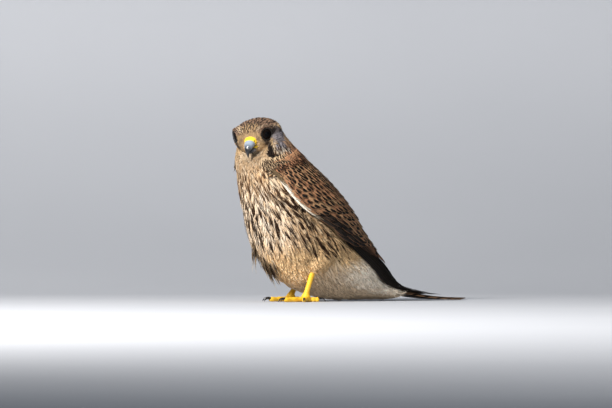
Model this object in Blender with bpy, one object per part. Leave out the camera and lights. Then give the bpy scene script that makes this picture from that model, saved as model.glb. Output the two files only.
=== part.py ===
"""A common kestrel standing at rest: a still museum model at life size.

Lengths below are in millimetres; the mesh is written in metres.  The bird
faces -Y, its left side is +X and the floor is at z = 0.
"""
import bpy
import bmesh
import math
import random
import numpy as np

MM = 0.001
GAP = 0.3                      # clearance between neighbouring parts
SHIFT_Y = -60.5                # moves the middle of the bird's length to y = 0
VANE = 0.5                     # thickness of a feather vane
PLUMAGE = 6.0                  # depth of the breast and neck feathers over the bed
VENT_PLUMAGE = 4.5
SEED = 12                      # chance shifts of the feathers start from this number

# The bed is the body under its wings.  Each station: back (y, z), belly (y, z),
# half width, narrowing of the lower half.
STATIONS = np.array((
    (-33.5, 159.0, -53.0, 147.5, 19.5, 0.00),
    (-24.0, 148.0, -57.5, 131.5, 24.0, 0.00),
    (-8.5, 131.5, -55.0, 116.0, 28.0, 0.00),
    (12.5, 114.3, -51.5, 99.0, 33.0, 0.00),
    (31.7, 97.3, -47.5, 82.0, 36.0, 0.00),
    (47.0, 80.3, -43.5, 65.0, 37.0, 0.00),
    (59.0, 63.1, -37.0, 46.0, 36.0, 0.10),
    (71.8, 48.5, -23.0, 28.5, 33.0, 0.28),
    (84.0, 37.3, 0.0, 13.5, 28.5, 0.38),
    (91.0, 28.3, 32.0, 5.0, 23.0, 0.30),
    (98.0, 20.2, 60.0, 3.6, 18.5, 0.10),
    (108.0, 13.0, 85.0, 3.0, 17.0, 0.00),
    (126.0, 8.6, 113.0, 2.0, 16.5, 0.00),
    (146.0, 5.4, 138.0, 0.6, 17.0, 0.00),
    (168.0, 4.0, 163.0, -0.2, 18.5, 0.00),
    (190.0, 3.6, 187.0, -0.4, 20.0, 0.00),
))
NECK_END = 1.60                # stations where the body is parted
WING_START = 1.76              # front of the wing
HAND_START = 3.08              # where the flight feathers' plates start under the coverts
TORSO_END = 6.90
RUMP_END = 11.4
TAIL_START = 8.70
# Where the body is cut across, besides its ends; the wing's bed starts between the first two
TORSO_STOPS = (1.68, 1.70, 2.3, 2.9, 3.5, 4.1, 4.7, 5.3, 5.9, 6.4)
RUMP_STOPS = (7.5, 8.2, 9.0, 9.8, 10.6)
NECK_SIDES = 26

# Lower edge of the folded wing: station, angle up from the widest line
WING_EDGE = np.array(((1.4, -41.0), (2.2, -30.0), (3.4, -24.0), (4.0, -19.0), (4.5, -12.0),
                      (5.3, 2.0), (6.3, 14.0), (7.2, 24.0), (8.3, 25.0), (9.9, 14.0), (11.5, 12.0),
                      (13.5, 22.0)))
# Half of the back left bare between the wings: station, degrees
MANTLE = np.array(((1.6, 17.0), (2.5, 15.0), (4.5, 10.0), (5.6, 5.0), (6.4, 1.6), (14.0, 2.5)))

# Flight feathers.  Width along a vane, as a share of its greatest, and stations of its ribs
VANE_SHAPE = np.array(((0.0, 0.45), (0.3, 0.9), (0.7, 1.0), (0.88, 0.82), (0.96, 0.5), (1.0, 0.2)))
PRIMARY_RIBS = (6.8, 8.0, 9.0, 10.0, 11.0, 12.0, 13.0)
SECONDARY_RIBS = (5.6, 6.6, 7.5)
# How far a vane's upper edge sinks for its half width, so that neighbours keep clear
PRIMARY_SLOPE = 0.2
SECONDARY_SLOPE = 0.1
PRIMARY_HALF = 5.2             # half width of a vane
SECONDARY_HALF = 5.0
PRIMARY_ROOT = 5.9             # station of the roots
SECONDARY_ROOT = 4.5
# Stations of the tips, from the lowest feather of the folded wing up
PRIMARY_TIPS = (13.15, 13.5, 13.25, 12.72, 12.14, 11.57, 11.03, 10.46, 9.83)
SECONDARY_TIPS = (6.3, 6.7, 7.1, 7.4, 7.65, 7.9, 8.1, 8.3, 8.4)
# Angle of the lowest primary over the wing's edge, and spread of the others, by station
PRIMARY_INSET = np.array(((4.0, 11.0), (6.0, 9.0), (8.0, 11.0), (10.0, 19.0), (12.0, 35.0), (13.5, 44.0)))
PRIMARY_SPREAD = np.array(((4.0, 0.9), (8.0, 1.1), (10.0, 1.5), (13.0, 1.4)))
PRIMARY_TURN = 3.8             # angle from one primary to the next, before its spread
PRIMARY_LAY = 1.5              # height of the lowest primary over the bed, and the rise to each next one
PRIMARY_RISE = np.array(((6.0, 0.08), (7.0, 0.14), (8.0, 0.25), (9.4, 0.52)))
# Angles of the lowest and the highest secondary, at their roots and at their tips
SECONDARY_ROOT_ANGLES = (3.0, 63.0)
SECONDARY_TIP_ANGLES = (31.0, 76.0)
# Plate that the primaries grow from: stations, offsets of its underside and its top
HAND_STOPS = (HAND_START, 4.0, 4.8, 5.6, 6.3)
HAND_UNDER = 1.05
HAND_TOPS = (2.1, 2.2, 2.2, 2.2, 1.9)
HAND_ANGLES = (4.0, 48.0)      # its lower and upper edge, over the wing's edge
# The same for the secondaries
ARM_STOPS = (HAND_START, 3.8, 4.6, 5.3)
ARM_UNDER = 3.1
ARM_TOPS = (4.3, 4.5, 4.5, 4.3)

# Tiers of coverts and scapulars: station of the tips at the wing's edge and near the back, count
TIERS = ((2.65, 2.80, 7), (3.30, 3.60, 7), (4.10, 4.60, 7), (5.00, 5.70, 7), (6.10, 7.50, 7))
TIER_ROOT = 0.12               # root of a vane, in stations before the tips of the tier over it
TIER_UNDER = 5.8               # underside and top of the plate that the tiers grow from
TIER_TOP = 7.1
TIER_RISE = 1.75               # height of a vane's tip over the plate, to its middle
TIER_SLOPE = 0.085

TAIL_TOP = 1.9                 # depth of the middle tail feather under the bed's back
TAIL_TIP = 15.0                # station of the middle pair's tips; each pair outwards is shorter
TAIL_STEP = 0.11
TAIL_HALF = (9.6, 8.2, 6.6, 6.2, 6.2, 6.2)
TAIL_DEPTH_STEP = 0.33
TAIL_RIBS = (10.0, 11.0, 12.0, 13.0, 14.0)

# Head: its centre and its turn, in degrees
HEAD_AT = np.array((0.0, -45.8, 151.8))
HEAD_YAW = 33.0
HEAD_PITCH = 22.0
HEAD_ROLL = 5.5
HEAD_LEAN = 0.15               # how far the crown leans to the bird's right, for its height
# forward, half width, top, bottom
HEAD_SECTIONS = np.array((
    (-24.0, 4.0, 3.6, -4.5),
    (-21.5, 11.0, 9.2, -11.0),
    (-16.0, 18.0, 13.2, -15.5),
    (-8.0, 22.4, 15.4, -17.5),
    (0.0, 23.4, 15.9, -18.0),
    (7.0, 21.0, 14.8, -17.0),
    (11.0, 17.8, 13.0, -15.2),
    (14.0, 14.2, 10.6, -12.8),
    (16.3, 10.2, 8.2, -10.8),
    (17.4, 7.6, 6.9, -9.6),
))
# centre (forward, side, up), spread, height of each swelling or hollow of the head
HEAD_RELIEF = (
    ((11.5, 13.0, 10.8), 3.6, 1.0),      # brow
    ((14.8, 11.0, 1.0), 2.6, -0.9),      # lore
    ((6.0, 18.5, -7.0), 5.5, 0.9),       # cheek
    ((2.0, 21.0, 3.0), 4.5, -0.5),       # ear
)
EYE_AT = (12.5, 15.4, 4.5)     # middle of the opening, on the head's surface
EYE_RADIUS = 7.0
EYE_DEPTH = 5.1                # eyeball's centre below the surface
EYE_FORWARD = 49.0             # angle between the eye's axis and straight ahead
LID_OUTER = 6.8
# Ring of skin round the eye: heights of its inner side, then (radius, height) of its outer side
LID_INNER_HEIGHTS = (0.6, -0.4, -1.2)
LID_OUTER_SIDE = ((LID_OUTER, -1.2), (LID_OUTER - 0.2, -0.3), (LID_OUTER - 0.9, 0.5))
LID_DEPTH = 1.2

FACE_AT = (12.0, 0.0, 3.0)     # room round the face that the neck keeps clear of
FACE_RADIUS = 20.0

# Bill sections: top (forward, up), bottom (forward, up), half width
CERE = ((14.2, 5.4, 13.2, -4.5, 6.4), (16.2, 5.3, 14.8, -4.5, 6.3), (18.6, 4.5, 16.8, -4.5, 5.9),
        (20.4, 3.4, 18.2, -4.5, 5.4))
UPPER_BILL = ((20.75, 3.2, 18.5, -4.5, 5.2), (23.6, 2.0, 20.8, -4.8, 4.5), (26.2, 0.2, 23.4, -5.2, 3.6),
              (28.3, -2.5, 25.6, -5.8, 2.6), (29.6, -5.6, 27.4, -7.2, 1.6), (30.0, -8.2, 28.6, -9.0, 0.8),
              (29.8, -10.3, 29.6, -10.5, 0.15))
LOWER_BILL = ((13.0, -4.95, 12.2, -8.4, 5.6), (18.3, -4.95, 17.3, -9.0, 4.7), (22.4, -5.6, 21.4, -9.2, 3.2),
              (24.6, -6.3, 24.2, -8.4, 1.7), (25.3, -7.1, 25.2, -7.7, 0.3))
NOSTRIL_AT = (18.6, 5.0, 1.0)
NOSTRIL_RADIUS = 0.75
# Mouth line on the side of the head: (forward, side) of the groove, its height at the front and its fall
MOUTH = ((18.2, 5.2), (14.0, 12.4), (11.0, 16.0), (8.5, 18.4), (7.5, 25.0), (18.2, 25.0))
MOUTH_HEIGHT = -4.7
MOUTH_FALL = 0.12
MOUTH_HALF = 0.3
HEAD_STOPS = (-24.0, -21.5, -17.5, -12.0, -6.0, 1.0, 6.5, 10.5, 13.5, 16.0, 17.4)

# Legs, left then right: ankle over the foot, heel joint, end of the thigh in the belly
ANKLES = ((17.5, -3.8, 6.2), (-15.0, 2.2, 6.2))
HEELS = ((23.5, 0.8, 31.0), (-18.5, 19.0, 27.0))
HIPS = ((27.5, 8.0, 45.0), (-23.5, 22.0, 39.0))
# Toes: turn from straight ahead for the left and the right foot, length
TOES = (("inner", -26.0, 38.0, 17.0), ("middle", 6.0, 8.0, 27.0), ("outer", 50.0, -34.0, 20.0),
        ("hind", 162.0, 172.0, 12.5))
TOE_RADIUS = 2.3
CLAW_LENGTH = 10.5
# Along a toe: share of its length, radius as a share of the toe's, height of its middle
TOE_SHARES = (0.0, 0.2, 0.36, 0.54, 0.7, 0.88, 1.0)
TOE_SWELL = (1.15, 1.1, 0.95, 1.1, 0.92, 1.05, 0.55)
TOE_HEIGHTS = (3.2, 2.4, 2.0, 1.9, 1.8, 1.9, 2.0)
CLAW_STEPS = (0.0, 0.25, 0.5, 0.75, 1.0)
# Along the shank from ankle to heel, and along the thigh from heel to hip: share and radius
SHANK_SHARES = (0.0, 0.12, 0.3, 0.6, 0.85, 1.0)
SHANK_RADII = (3.0, 2.6, 2.4, 2.5, 2.9, 3.4)
THIGH_SHARES = (-0.16, 0.0, 0.25, 0.6, 1.0, 1.35, 1.6)
THIGH_RADII = (4.6, 7.2, 10.6, 13.2, 13.6, 11.6, 7.0)
# Pad under the ankle: heights from its middle, radii
PAD_MIDDLE = 3.4
PAD_HEIGHTS = (-3.4, -1.5, 1.5, 4.2)
PAD_RADII = (3.4, 4.4, 4.2, 3.0)

COLOURS = {
    "crown": (0.30, 0.22, 0.16), "breast": (0.66, 0.54, 0.40), "vent": (0.72, 0.66, 0.56),
    "chestnut": (0.36, 0.18, 0.09), "flight": (0.06, 0.05, 0.045), "tail": (0.30, 0.19, 0.11),
    "thigh": (0.62, 0.46, 0.28), "skin": (0.85, 0.52, 0.04), "horn": (0.22, 0.24, 0.28),
    "claw": (0.02, 0.02, 0.02), "eye": (0.012, 0.009, 0.008), "lid": (0.25, 0.21, 0.10),
}


# Curves and the bed

def spline(rows, at):
    """Smooth curve through the rows, one row per whole number."""
    at = np.clip(np.asarray(at, float), 0.0, len(rows) - 1.0 - 1e-9)
    i = np.floor(at).astype(int)
    t = (at - i)[..., None]
    last = len(rows) - 1
    a, b = rows[np.clip(i - 1, 0, last)], rows[i]
    c, d = rows[np.clip(i + 1, 0, last)], rows[np.clip(i + 2, 0, last)]
    square = (2 * a - 5 * b + 4 * c - d) * t ** 2
    return 0.5 * (2 * b + (c - a) * t + square + (3 * b - 3 * c + d - a) * t ** 3)


def bed(s, psi, out=0.0):
    """Point of the bed at station s and angle psi, moved outwards."""
    row = spline(STATIONS, s)
    back, belly = row[..., 0:2], row[..., 2:4]
    middle = (back + belly) / 2
    half = np.linalg.norm(back - belly, axis=-1) / 2
    up = (back - belly) / (2 * half)[..., None]
    low = np.clip(-np.sin(psi), 0.0, 1.0)
    x = (row[..., 4] + out) * np.cos(psi) * (1.0 - row[..., 5] * low)
    rise = (half + out) * np.sin(psi)
    return np.stack([x, middle[..., 0] + rise * up[..., 0], middle[..., 1] + rise * up[..., 1]], -1)


def table(rows, at):
    return np.interp(at, rows[:, 0], rows[:, 1])


def smooth(t):
    t = np.clip(t, 0.0, 1.0)
    return t * t * (3 - 2 * t)


def roof(s, x, depth):
    """Point below the top of the tail at station s, x to the side."""
    row = spline(STATIONS, s)
    back, belly = row[..., 0:2], row[..., 2:4]
    half = np.linalg.norm(back - belly, axis=-1) / 2
    up = (back - belly) / (2 * half)[..., None]
    across = np.clip(np.abs(x) / row[..., 4], 0.0, 0.93)
    drop = half * (1 - np.sqrt(1 - across ** 2)) + depth
    x, drop = np.broadcast_arrays(np.asarray(x, float), drop)
    return np.stack([x, back[..., 0] - drop * up[..., 0], back[..., 1] - drop * up[..., 1]], -1)


def head_axes():
    yaw, pitch, roll = (math.radians(a) for a in (HEAD_YAW, HEAD_PITCH, HEAD_ROLL))
    ahead = np.array((math.sin(yaw), -math.cos(yaw), 0.0))
    left = np.array((math.cos(yaw), math.sin(yaw), 0.0))
    up = np.array((0.0, 0.0, 1.0))
    forward = math.cos(pitch) * ahead - math.sin(pitch) * up
    crown = math.sin(pitch) * ahead + math.cos(pitch) * up
    return np.array((forward, left * math.cos(roll) + crown * math.sin(roll),
                     crown * math.cos(roll) - left * math.sin(roll)))


HEAD_FRAME = head_axes()


def from_head(points):
    """Head coordinates (forward, left, up) to the bird's frame."""
    return HEAD_AT + np.asarray(points, float) @ HEAD_FRAME


# Closed meshes

def loft(rings):
    """Closed tube through rings of equal length; the ends are flat polygons."""
    rings = np.asarray(rings, float)
    rows, sides = rings.shape[:2]
    faces = []
    for i in range(rows - 1):
        for j in range(sides):
            k = (j + 1) % sides
            a, b = i * sides + j, i * sides + k
            faces.append((a, b, b + sides))
            faces.append((a, b + sides, a + sides))
    faces.append(tuple(range(sides - 1, -1, -1)))
    faces.append(tuple(range((rows - 1) * sides, rows * sides)))
    return rings.reshape(-1, 3), faces


def sheet(top, bottom):
    """Closed plate between two grids of points, both split alike."""
    top, bottom = np.asarray(top, float), np.asarray(bottom, float)
    rows, columns = top.shape[:2]
    count = rows * columns
    faces = []
    for i in range(rows - 1):
        for j in range(columns - 1):
            a, b = i * columns + j, i * columns + j + 1
            c, d = a + columns, b + columns
            faces += [(a, b, d), (a, d, c)]
            faces += [(b + count, a + count, d + count), (d + count, a + count, c + count)]
    rim = [i * columns for i in range(rows - 1, 0, -1)] + list(range(columns))
    rim += [i * columns + columns - 1 for i in range(1, rows)]
    rim += [(rows - 1) * columns + j for j in range(columns - 2, 0, -1)]
    for a, b in zip(rim, rim[1:] + rim[:1]):
        faces += [(b, a, a + count), (b, a + count, b + count)]
    return np.concatenate([top.reshape(-1, 3), bottom.reshape(-1, 3)]), faces


def mirrored(piece):
    points, faces = piece
    return points * np.array((-1.0, 1.0, 1.0)), [tuple(reversed(f)) for f in faces]


def tube(points, radii, sides, floor=None, grow=0.0):
    """Round limb along a path of points, with one radius for each."""
    points = np.array(points, float)
    radii = np.array(radii, float) + grow
    for end, inner in ((0, 1), (-1, -2)):
        along = points[end] - points[inner]
        points[end] += grow * along / np.linalg.norm(along)
    rings = []
    side = np.array((1.0, 0.0, 0.0))
    for i, (at, r) in enumerate(zip(points, radii)):
        along = points[min(i + 1, len(points) - 1)] - points[max(i - 1, 0)]
        along /= np.linalg.norm(along)
        other = np.cross(along, side)
        other /= np.linalg.norm(other)
        side = np.cross(other, along)
        turn = np.arange(sides) * 2 * math.pi / sides
        rings.append(at + r * (np.outer(np.cos(turn), side) + np.outer(np.sin(turn), other)))
    rings = np.array(rings)
    if floor is not None:
        rings[..., 2] = np.maximum(rings[..., 2], floor)
    return loft(rings)


def sphere(centre, radius, sides=14, rows=8):
    rings = []
    for t in np.linspace(0.06, 0.94, rows):
        turn = np.arange(sides) * 2 * math.pi / sides
        r = radius * math.sin(t * math.pi)
        rings.append(np.stack([r * np.cos(turn), r * np.sin(turn),
                               np.full(sides, -radius * math.cos(t * math.pi))], -1) + centre)
    return loft(rings)


def aligned(axis):
    """Two directions square to the axis."""
    axis = np.asarray(axis, float) / np.linalg.norm(axis)
    other = np.cross(axis, (0.0, 0.0, 1.0))
    other /= np.linalg.norm(other)
    return axis, other, np.cross(axis, other)


def turned(centre, axis, profile, sides):
    """Ring turned about an axis from a closed outline of (radius, height) pairs."""
    axis, u, v = aligned(axis)
    rows = [[centre + r * (math.cos(a) * u + math.sin(a) * v) + h * axis for r, h in profile]
            for a in np.arange(sides) * 2 * math.pi / sides]
    points = np.array(rows).reshape(-1, 3)
    n = len(profile)
    faces = []
    for i in range(sides):
        for j in range(n):
            a, b = i * n + j, i * n + (j + 1) % n
            c, d = (i + 1) % sides * n + j, (i + 1) % sides * n + (j + 1) % n
            faces += [(a, b, d), (a, d, c)]
    return points, faces


def outward(piece):
    """The piece with all faces turned outwards."""
    points, faces = piece
    volume = 0.0
    for f in faces:
        for i in range(1, len(f) - 1):
            volume += np.dot(points[f[0]], np.cross(points[f[i]], points[f[i + 1]]))
    if volume < 0:
        faces = [tuple(reversed(f)) for f in faces]
    return points, faces


def mesh_object(name, piece, collection=None):
    points, faces = outward(piece)
    points = (points + np.array((0.0, SHIFT_Y, 0.0))) * MM
    mesh = bpy.data.meshes.new(name)
    mesh.from_pydata([tuple(p) for p in points], [], faces)
    mesh.update()
    obj = bpy.data.objects.new(name, mesh)
    (collection or bpy.context.scene.collection).objects.link(obj)
    return obj


def keep_largest(mesh):
    """Leaves only the closed surface with the greatest volume."""
    bm = bmesh.new()
    bm.from_mesh(mesh)
    bmesh.ops.triangulate(bm, faces=bm.faces[:])
    left = set(bm.faces)
    shells = []
    while left:
        stack = [left.pop()]
        shell = []
        while stack:
            face = stack.pop()
            shell.append(face)
            for edge in face.edges:
                for other in edge.link_faces:
                    if other in left:
                        left.remove(other)
                        stack.append(other)
        volume = 0.0
        for face in shell:
            a, b, c = (v.co for v in face.verts)
            volume += a.dot(b.cross(c))
        shells.append((volume, shell))
    shells.sort(key=lambda pair: -pair[0])
    for _, shell in shells[1:]:
        bmesh.ops.delete(bm, geom=shell, context='FACES')
    bm.to_mesh(mesh)
    bm.free()


def combine(obj, pieces, operation):
    """Joins closed pieces to the object, or cuts them out of it."""
    collection = bpy.data.collections.new("pieces")
    bpy.context.scene.collection.children.link(collection)
    for i, piece in enumerate(pieces):
        mesh_object("piece_%d" % i, piece, collection)
    modifier = obj.modifiers.new("combine", 'BOOLEAN')
    modifier.operation = operation
    modifier.operand_type = 'COLLECTION'
    modifier.collection = collection
    modifier.solver = 'MANIFOLD'
    graph = bpy.context.evaluated_depsgraph_get()
    mesh = bpy.data.meshes.new_from_object(obj.evaluated_get(graph))
    obj.modifiers.clear()
    old = obj.data
    obj.data = mesh
    bpy.data.meshes.remove(old)
    for other in list(collection.objects):
        data = other.data
        bpy.data.objects.remove(other)
        bpy.data.meshes.remove(data)
    bpy.data.collections.remove(collection)
    keep_largest(obj.data)


def part(name, colour, pieces, cuts=(), rounded=40.0, roughness=0.7):
    """One named part: pieces joined, cuts taken out, its own material."""
    obj = mesh_object(name, pieces[0])
    if len(pieces) > 1:
        combine(obj, pieces[1:], 'UNION')
    if cuts:
        combine(obj, cuts, 'DIFFERENCE')
    obj.data.name = name
    material = bpy.data.materials.new(name)
    material.use_nodes = True
    shader = material.node_tree.nodes["Principled BSDF"]
    shader.inputs["Base Color"].default_value = (*COLOURS[colour], 1.0)
    shader.inputs["Roughness"].default_value = roughness
    obj.data.materials.clear()
    obj.data.materials.append(material)
    obj.data.shade_smooth()
    obj.data.set_sharp_from_angle(angle=math.radians(rounded))
    return obj


# Head

def head_surface(forward, turn, grow=0.0):
    """Point of the head at a distance forward and an angle round it."""
    row = [np.interp(forward, HEAD_SECTIONS[:, 0], HEAD_SECTIONS[:, k]) for k in (1, 2, 3)]
    c, s = math.cos(turn), math.sin(turn)
    side = (row[0] + grow) * c
    up = (row[1] + grow) * s if s > 0 else -(row[2] - grow) * s
    side -= HEAD_LEAN * max(up, 0.0)
    at = np.array((forward, side, up))
    radial = np.array((0.0, c, s))
    for centre, spread, height in HEAD_RELIEF:
        for mirror in (1, -1):
            gap = at - np.array((centre[0], mirror * centre[1], centre[2]))
            at = at + radial * height * math.exp(-gap.dot(gap) / (2 * spread ** 2))
    return at


def head_form(grow=0.0, sides=22):
    stops = list(HEAD_STOPS)
    stops[0] -= grow
    stops[-1] += grow
    rings = []
    for forward in stops:
        rings.append([head_surface(forward, a, grow) for a in np.arange(sides) * 2 * math.pi / sides])
    return loft(from_head(rings))


def bill_form(sections, grow=0.0, sides=12):
    rings = []
    turn = np.arange(sides) * 2 * math.pi / sides
    for i, (tf, tu, bf, bu, half) in enumerate(sections):
        top, low = np.array((tf, tu)), np.array((bf, bu))
        middle, reach = (top + low) / 2, (top - low) / 2
        reach = reach * (1 + grow / np.linalg.norm(reach))
        if grow and i in (0, len(sections) - 1):
            square = np.array((reach[1], -reach[0])) / np.linalg.norm(reach)
            middle = middle + square * (grow if i else -grow)
        rings.append(np.stack([middle[0] + reach[0] * np.sin(turn), (half + grow) * np.cos(turn),
                               middle[1] + reach[1] * np.sin(turn)], -1))
    return loft(from_head(rings))


def eye_place(side):
    """Middle of the eye's opening and its axis, for side 1 (left) or -1."""
    angle = math.radians(EYE_FORWARD)
    axis = np.array((math.cos(angle), side * math.sin(angle), 0.12))
    axis /= np.linalg.norm(axis)
    at = np.array((EYE_AT[0], side * EYE_AT[1], EYE_AT[2]))
    return from_head(at), axis @ HEAD_FRAME


def lid_outline():
    """Section of the ring of skin round the eye, as (radius, height)."""
    ball = EYE_RADIUS + GAP
    inner = [(math.sqrt(ball ** 2 - (h + EYE_DEPTH) ** 2), h) for h in LID_INNER_HEIGHTS]
    return inner + list(LID_OUTER_SIDE)


def mouth_cut(side):
    """Thin groove that carries the mouth line back under the eye."""
    front = HEAD_STOPS[-1]
    rows = []
    for lift in (-MOUTH_HALF, MOUTH_HALF):
        rows.append([(f, side * x, MOUTH_HEIGHT - MOUTH_FALL * (front - f) + lift) for f, x in MOUTH])
    return loft(from_head(rows))


def build_head():
    cuts = [bill_form(CERE, GAP), bill_form(LOWER_BILL, GAP), mouth_cut(1), mouth_cut(-1)]
    for side, name in ((1, "left"), (-1, "right")):
        at, axis = eye_place(side)
        ball = at - EYE_DEPTH * axis
        cuts.append(sphere(ball, EYE_RADIUS + GAP))
        cuts.append(tube([at - (LID_DEPTH + GAP) * axis, at + 6 * axis], [LID_OUTER + GAP] * 2, 16))
        part("eye_" + name, "eye", [sphere(ball, EYE_RADIUS)], rounded=80.0, roughness=0.08)
        part("lid_" + name, "lid", [turned(at, axis, lid_outline(), 16)])
    part("head", "crown", [head_form()], cuts)
    holes = []
    for side in (1, -1):
        at = from_head((NOSTRIL_AT[0], side * NOSTRIL_AT[1], NOSTRIL_AT[2]))
        axis = np.array((0.25, side, 0.1)) @ HEAD_FRAME
        holes.append(tube([at - 0.6 * axis, at + 3 * axis], [NOSTRIL_RADIUS] * 2, 8))
    part("cere", "skin", [bill_form(CERE)], holes)
    part("bill_upper", "horn", [bill_form(UPPER_BILL)], roughness=0.35)
    part("bill_lower", "horn", [bill_form(LOWER_BILL)], roughness=0.35)


# Trunk

def half_ring(s, grow=0.0):
    """Angles and offsets from the belly up to the back at one station."""
    edge = table(WING_EDGE, s)
    bare = table(MANTLE, s)
    coat = PLUMAGE if s < 6.0 else np.interp(s, (6.0, 8.0, RUMP_END), (PLUMAGE, VENT_PLUMAGE, 1.5))
    under = coat if s < TORSO_STOPS[1] else 0.0
    ridge = np.interp(s, (1.6, 4.6, 6.2), (PLUMAGE, PLUMAGE, 0.0))
    low = np.linspace(-90.0, edge - 2.5, 7)
    high = np.linspace(edge + 0.5, 90.0 - bare - 2.0, 5)
    angles = np.concatenate([low, high, (90.0 - bare, 90.0)])
    offsets = np.concatenate([np.full(7, coat), np.full(5, under), (ridge, ridge)])
    return np.radians(angles), offsets + grow


def trunk_form(stops, grow=0.0):
    rings = []
    for s in stops:
        angles, offsets = half_ring(s, grow)
        left = bed(np.full(len(angles), s), angles, offsets)
        right = left[-2:0:-1] * np.array((-1.0, 1.0, 1.0))
        rings.append(np.concatenate([left, right]))
    return loft(rings)


def neck_form():
    rings = []
    turn = np.arange(NECK_SIDES) * 2 * math.pi / NECK_SIDES
    for s in (0.0, 0.5, 1.0, NECK_END):
        rings.append(bed(np.full(NECK_SIDES, s), turn, PLUMAGE))
    return loft(rings)


def station_gap(s):
    """Share of a station that is one clearance long at the bed's middle."""
    a, b = spline(STATIONS, s - 0.05), spline(STATIONS, s + 0.05)
    step = np.linalg.norm((b[:2] + b[2:4] - a[:2] - a[2:4]) / 2)
    return GAP * 1.6 * 0.1 / step


def build_trunk():
    cuts = [head_form(GAP * 1.5), bill_form(LOWER_BILL, GAP), sphere(from_head(FACE_AT), FACE_RADIUS)]
    for side in (1, -1):
        at, axis = eye_place(side)
        cuts.append(tube([at - 4.0 * axis, at + 12.0 * axis], [LID_OUTER + 2 * GAP] * 2, 12))
    part("neck", "breast", [neck_form()], cuts)
    start = NECK_END + station_gap(NECK_END)
    stops = [start, *TORSO_STOPS, TORSO_END]
    legs = [thigh_form(0, GAP), thigh_form(1, GAP), tarsus_form(0, GAP), tarsus_form(1, GAP)]
    part("torso", "breast", [trunk_form(stops)], legs)
    start = TORSO_END + station_gap(TORSO_END)
    stops = [start, *RUMP_STOPS, RUMP_END]
    part("rump", "vent", [trunk_form(stops)], [tail_space()] + legs)


# Feathers

def vane(line, half, lay, stops, slope, sides=(-1.0, 0.0, 1.0)):
    """Vane over the bed; line gives its angle in degrees at station s, lay its height over the bed.

    The slope sinks its upper edge, so that neighbours lie over one another without touching."""
    stops = np.asarray(stops, float)
    t = (stops - stops[0]) / (stops[-1] - stops[0])
    width = half * np.interp(t, VANE_SHAPE[:, 0], VANE_SHAPE[:, 1])
    level = lay(stops)
    lean = slope * width
    body = VANE * np.interp(t, (0.0, 0.9, 1.0), (1.0, 1.0, 0.7))
    top, bottom = [], []
    for s, w, o, h, sink in zip(stops, width, level, body, lean):
        psi = math.radians(line(s))
        step = 0.01
        reach = np.linalg.norm(bed(s, psi + step, o) - bed(s, psi - step, o)) / (2 * step)
        over, under = [], []
        for v in sides:
            edge = 0.5 * h * (1.0 if v == 0 or len(sides) == 2 else 0.75)
            angle = psi + v * w / reach
            over.append(bed(s, angle, o - sink * v + edge))
            under.append(bed(s, angle, o - sink * v - edge))
        top.append(over)
        bottom.append(under)
    return sheet(top, bottom)


def plate(stops, low, high, under, over, columns=5):
    """Plate over the bed between two angles, given at each stop."""
    top, bottom = [], []
    for i, s in enumerate(stops):
        angles = np.radians(np.linspace(low[i], high[i], columns))
        top.append(bed(np.full(columns, s), angles, over[i]))
        bottom.append(bed(np.full(columns, s), angles, under[i]))
    return sheet(top, bottom)


def ribs(start, tip, grid):
    """Stations of a vane's ribs: its root, the shared grid, and its tip."""
    inner = [g for g in grid if start + 0.25 < g < tip - 0.35]
    return [start] + inner + [tip]


def between(low, high, share):
    return low + (high - low) * share


def primaries(rng):
    low, high = ([table(WING_EDGE, s) + angle for s in HAND_STOPS] for angle in HAND_ANGLES)
    pieces = [plate(HAND_STOPS, low, high, [HAND_UNDER] * len(low), HAND_TOPS)]
    for k, tip in enumerate(PRIMARY_TIPS):
        tip += rng.uniform(-0.04, 0.04)
        spread = PRIMARY_TURN + 0.25 * rng.uniform(-1, 1)

        def line(s, k=k, spread=spread):
            lowest = table(WING_EDGE, s) + table(PRIMARY_INSET, s)
            return lowest + k * spread * table(PRIMARY_SPREAD, s)

        def lay(s, k=k):
            return PRIMARY_LAY + k * table(PRIMARY_RISE, s)
        stops = ribs(PRIMARY_ROOT, tip, PRIMARY_RIBS)
        pieces.append(vane(line, PRIMARY_HALF, lay, stops, PRIMARY_SLOPE))
    return pieces


def secondaries(rng):
    low = [table(WING_EDGE, s) + 4.0 for s in ARM_STOPS]
    high = [86.0 - table(MANTLE, s) for s in ARM_STOPS]
    pieces = [plate(ARM_STOPS, low, high, [ARM_UNDER] * len(low), ARM_TOPS, 7)]
    for k, tip in enumerate(SECONDARY_TIPS):
        tip += rng.uniform(-0.05, 0.05)
        share = k / (len(SECONDARY_TIPS) - 1)

        def line(s, share=share):
            start = between(*SECONDARY_ROOT_ANGLES, share)
            finish = between(*SECONDARY_TIP_ANGLES, share)
            return between(start, finish, smooth((s - 3.6) / 4.0))

        def lay(s, k=k):
            return np.interp(s, (4.5, 5.6), (3.75, 4.5 + 0.19 * k))
        stops = ribs(SECONDARY_ROOT, tip, SECONDARY_RIBS)
        pieces.append(vane(line, SECONDARY_HALF, lay, stops, SECONDARY_SLOPE))
    return pieces


def tier_angle(s, share):
    """Angle in degrees at a share of the way from the wing's edge to the back."""
    return between(table(WING_EDGE, s) + 2.5, 87.0 - table(MANTLE, s), share)


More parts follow.
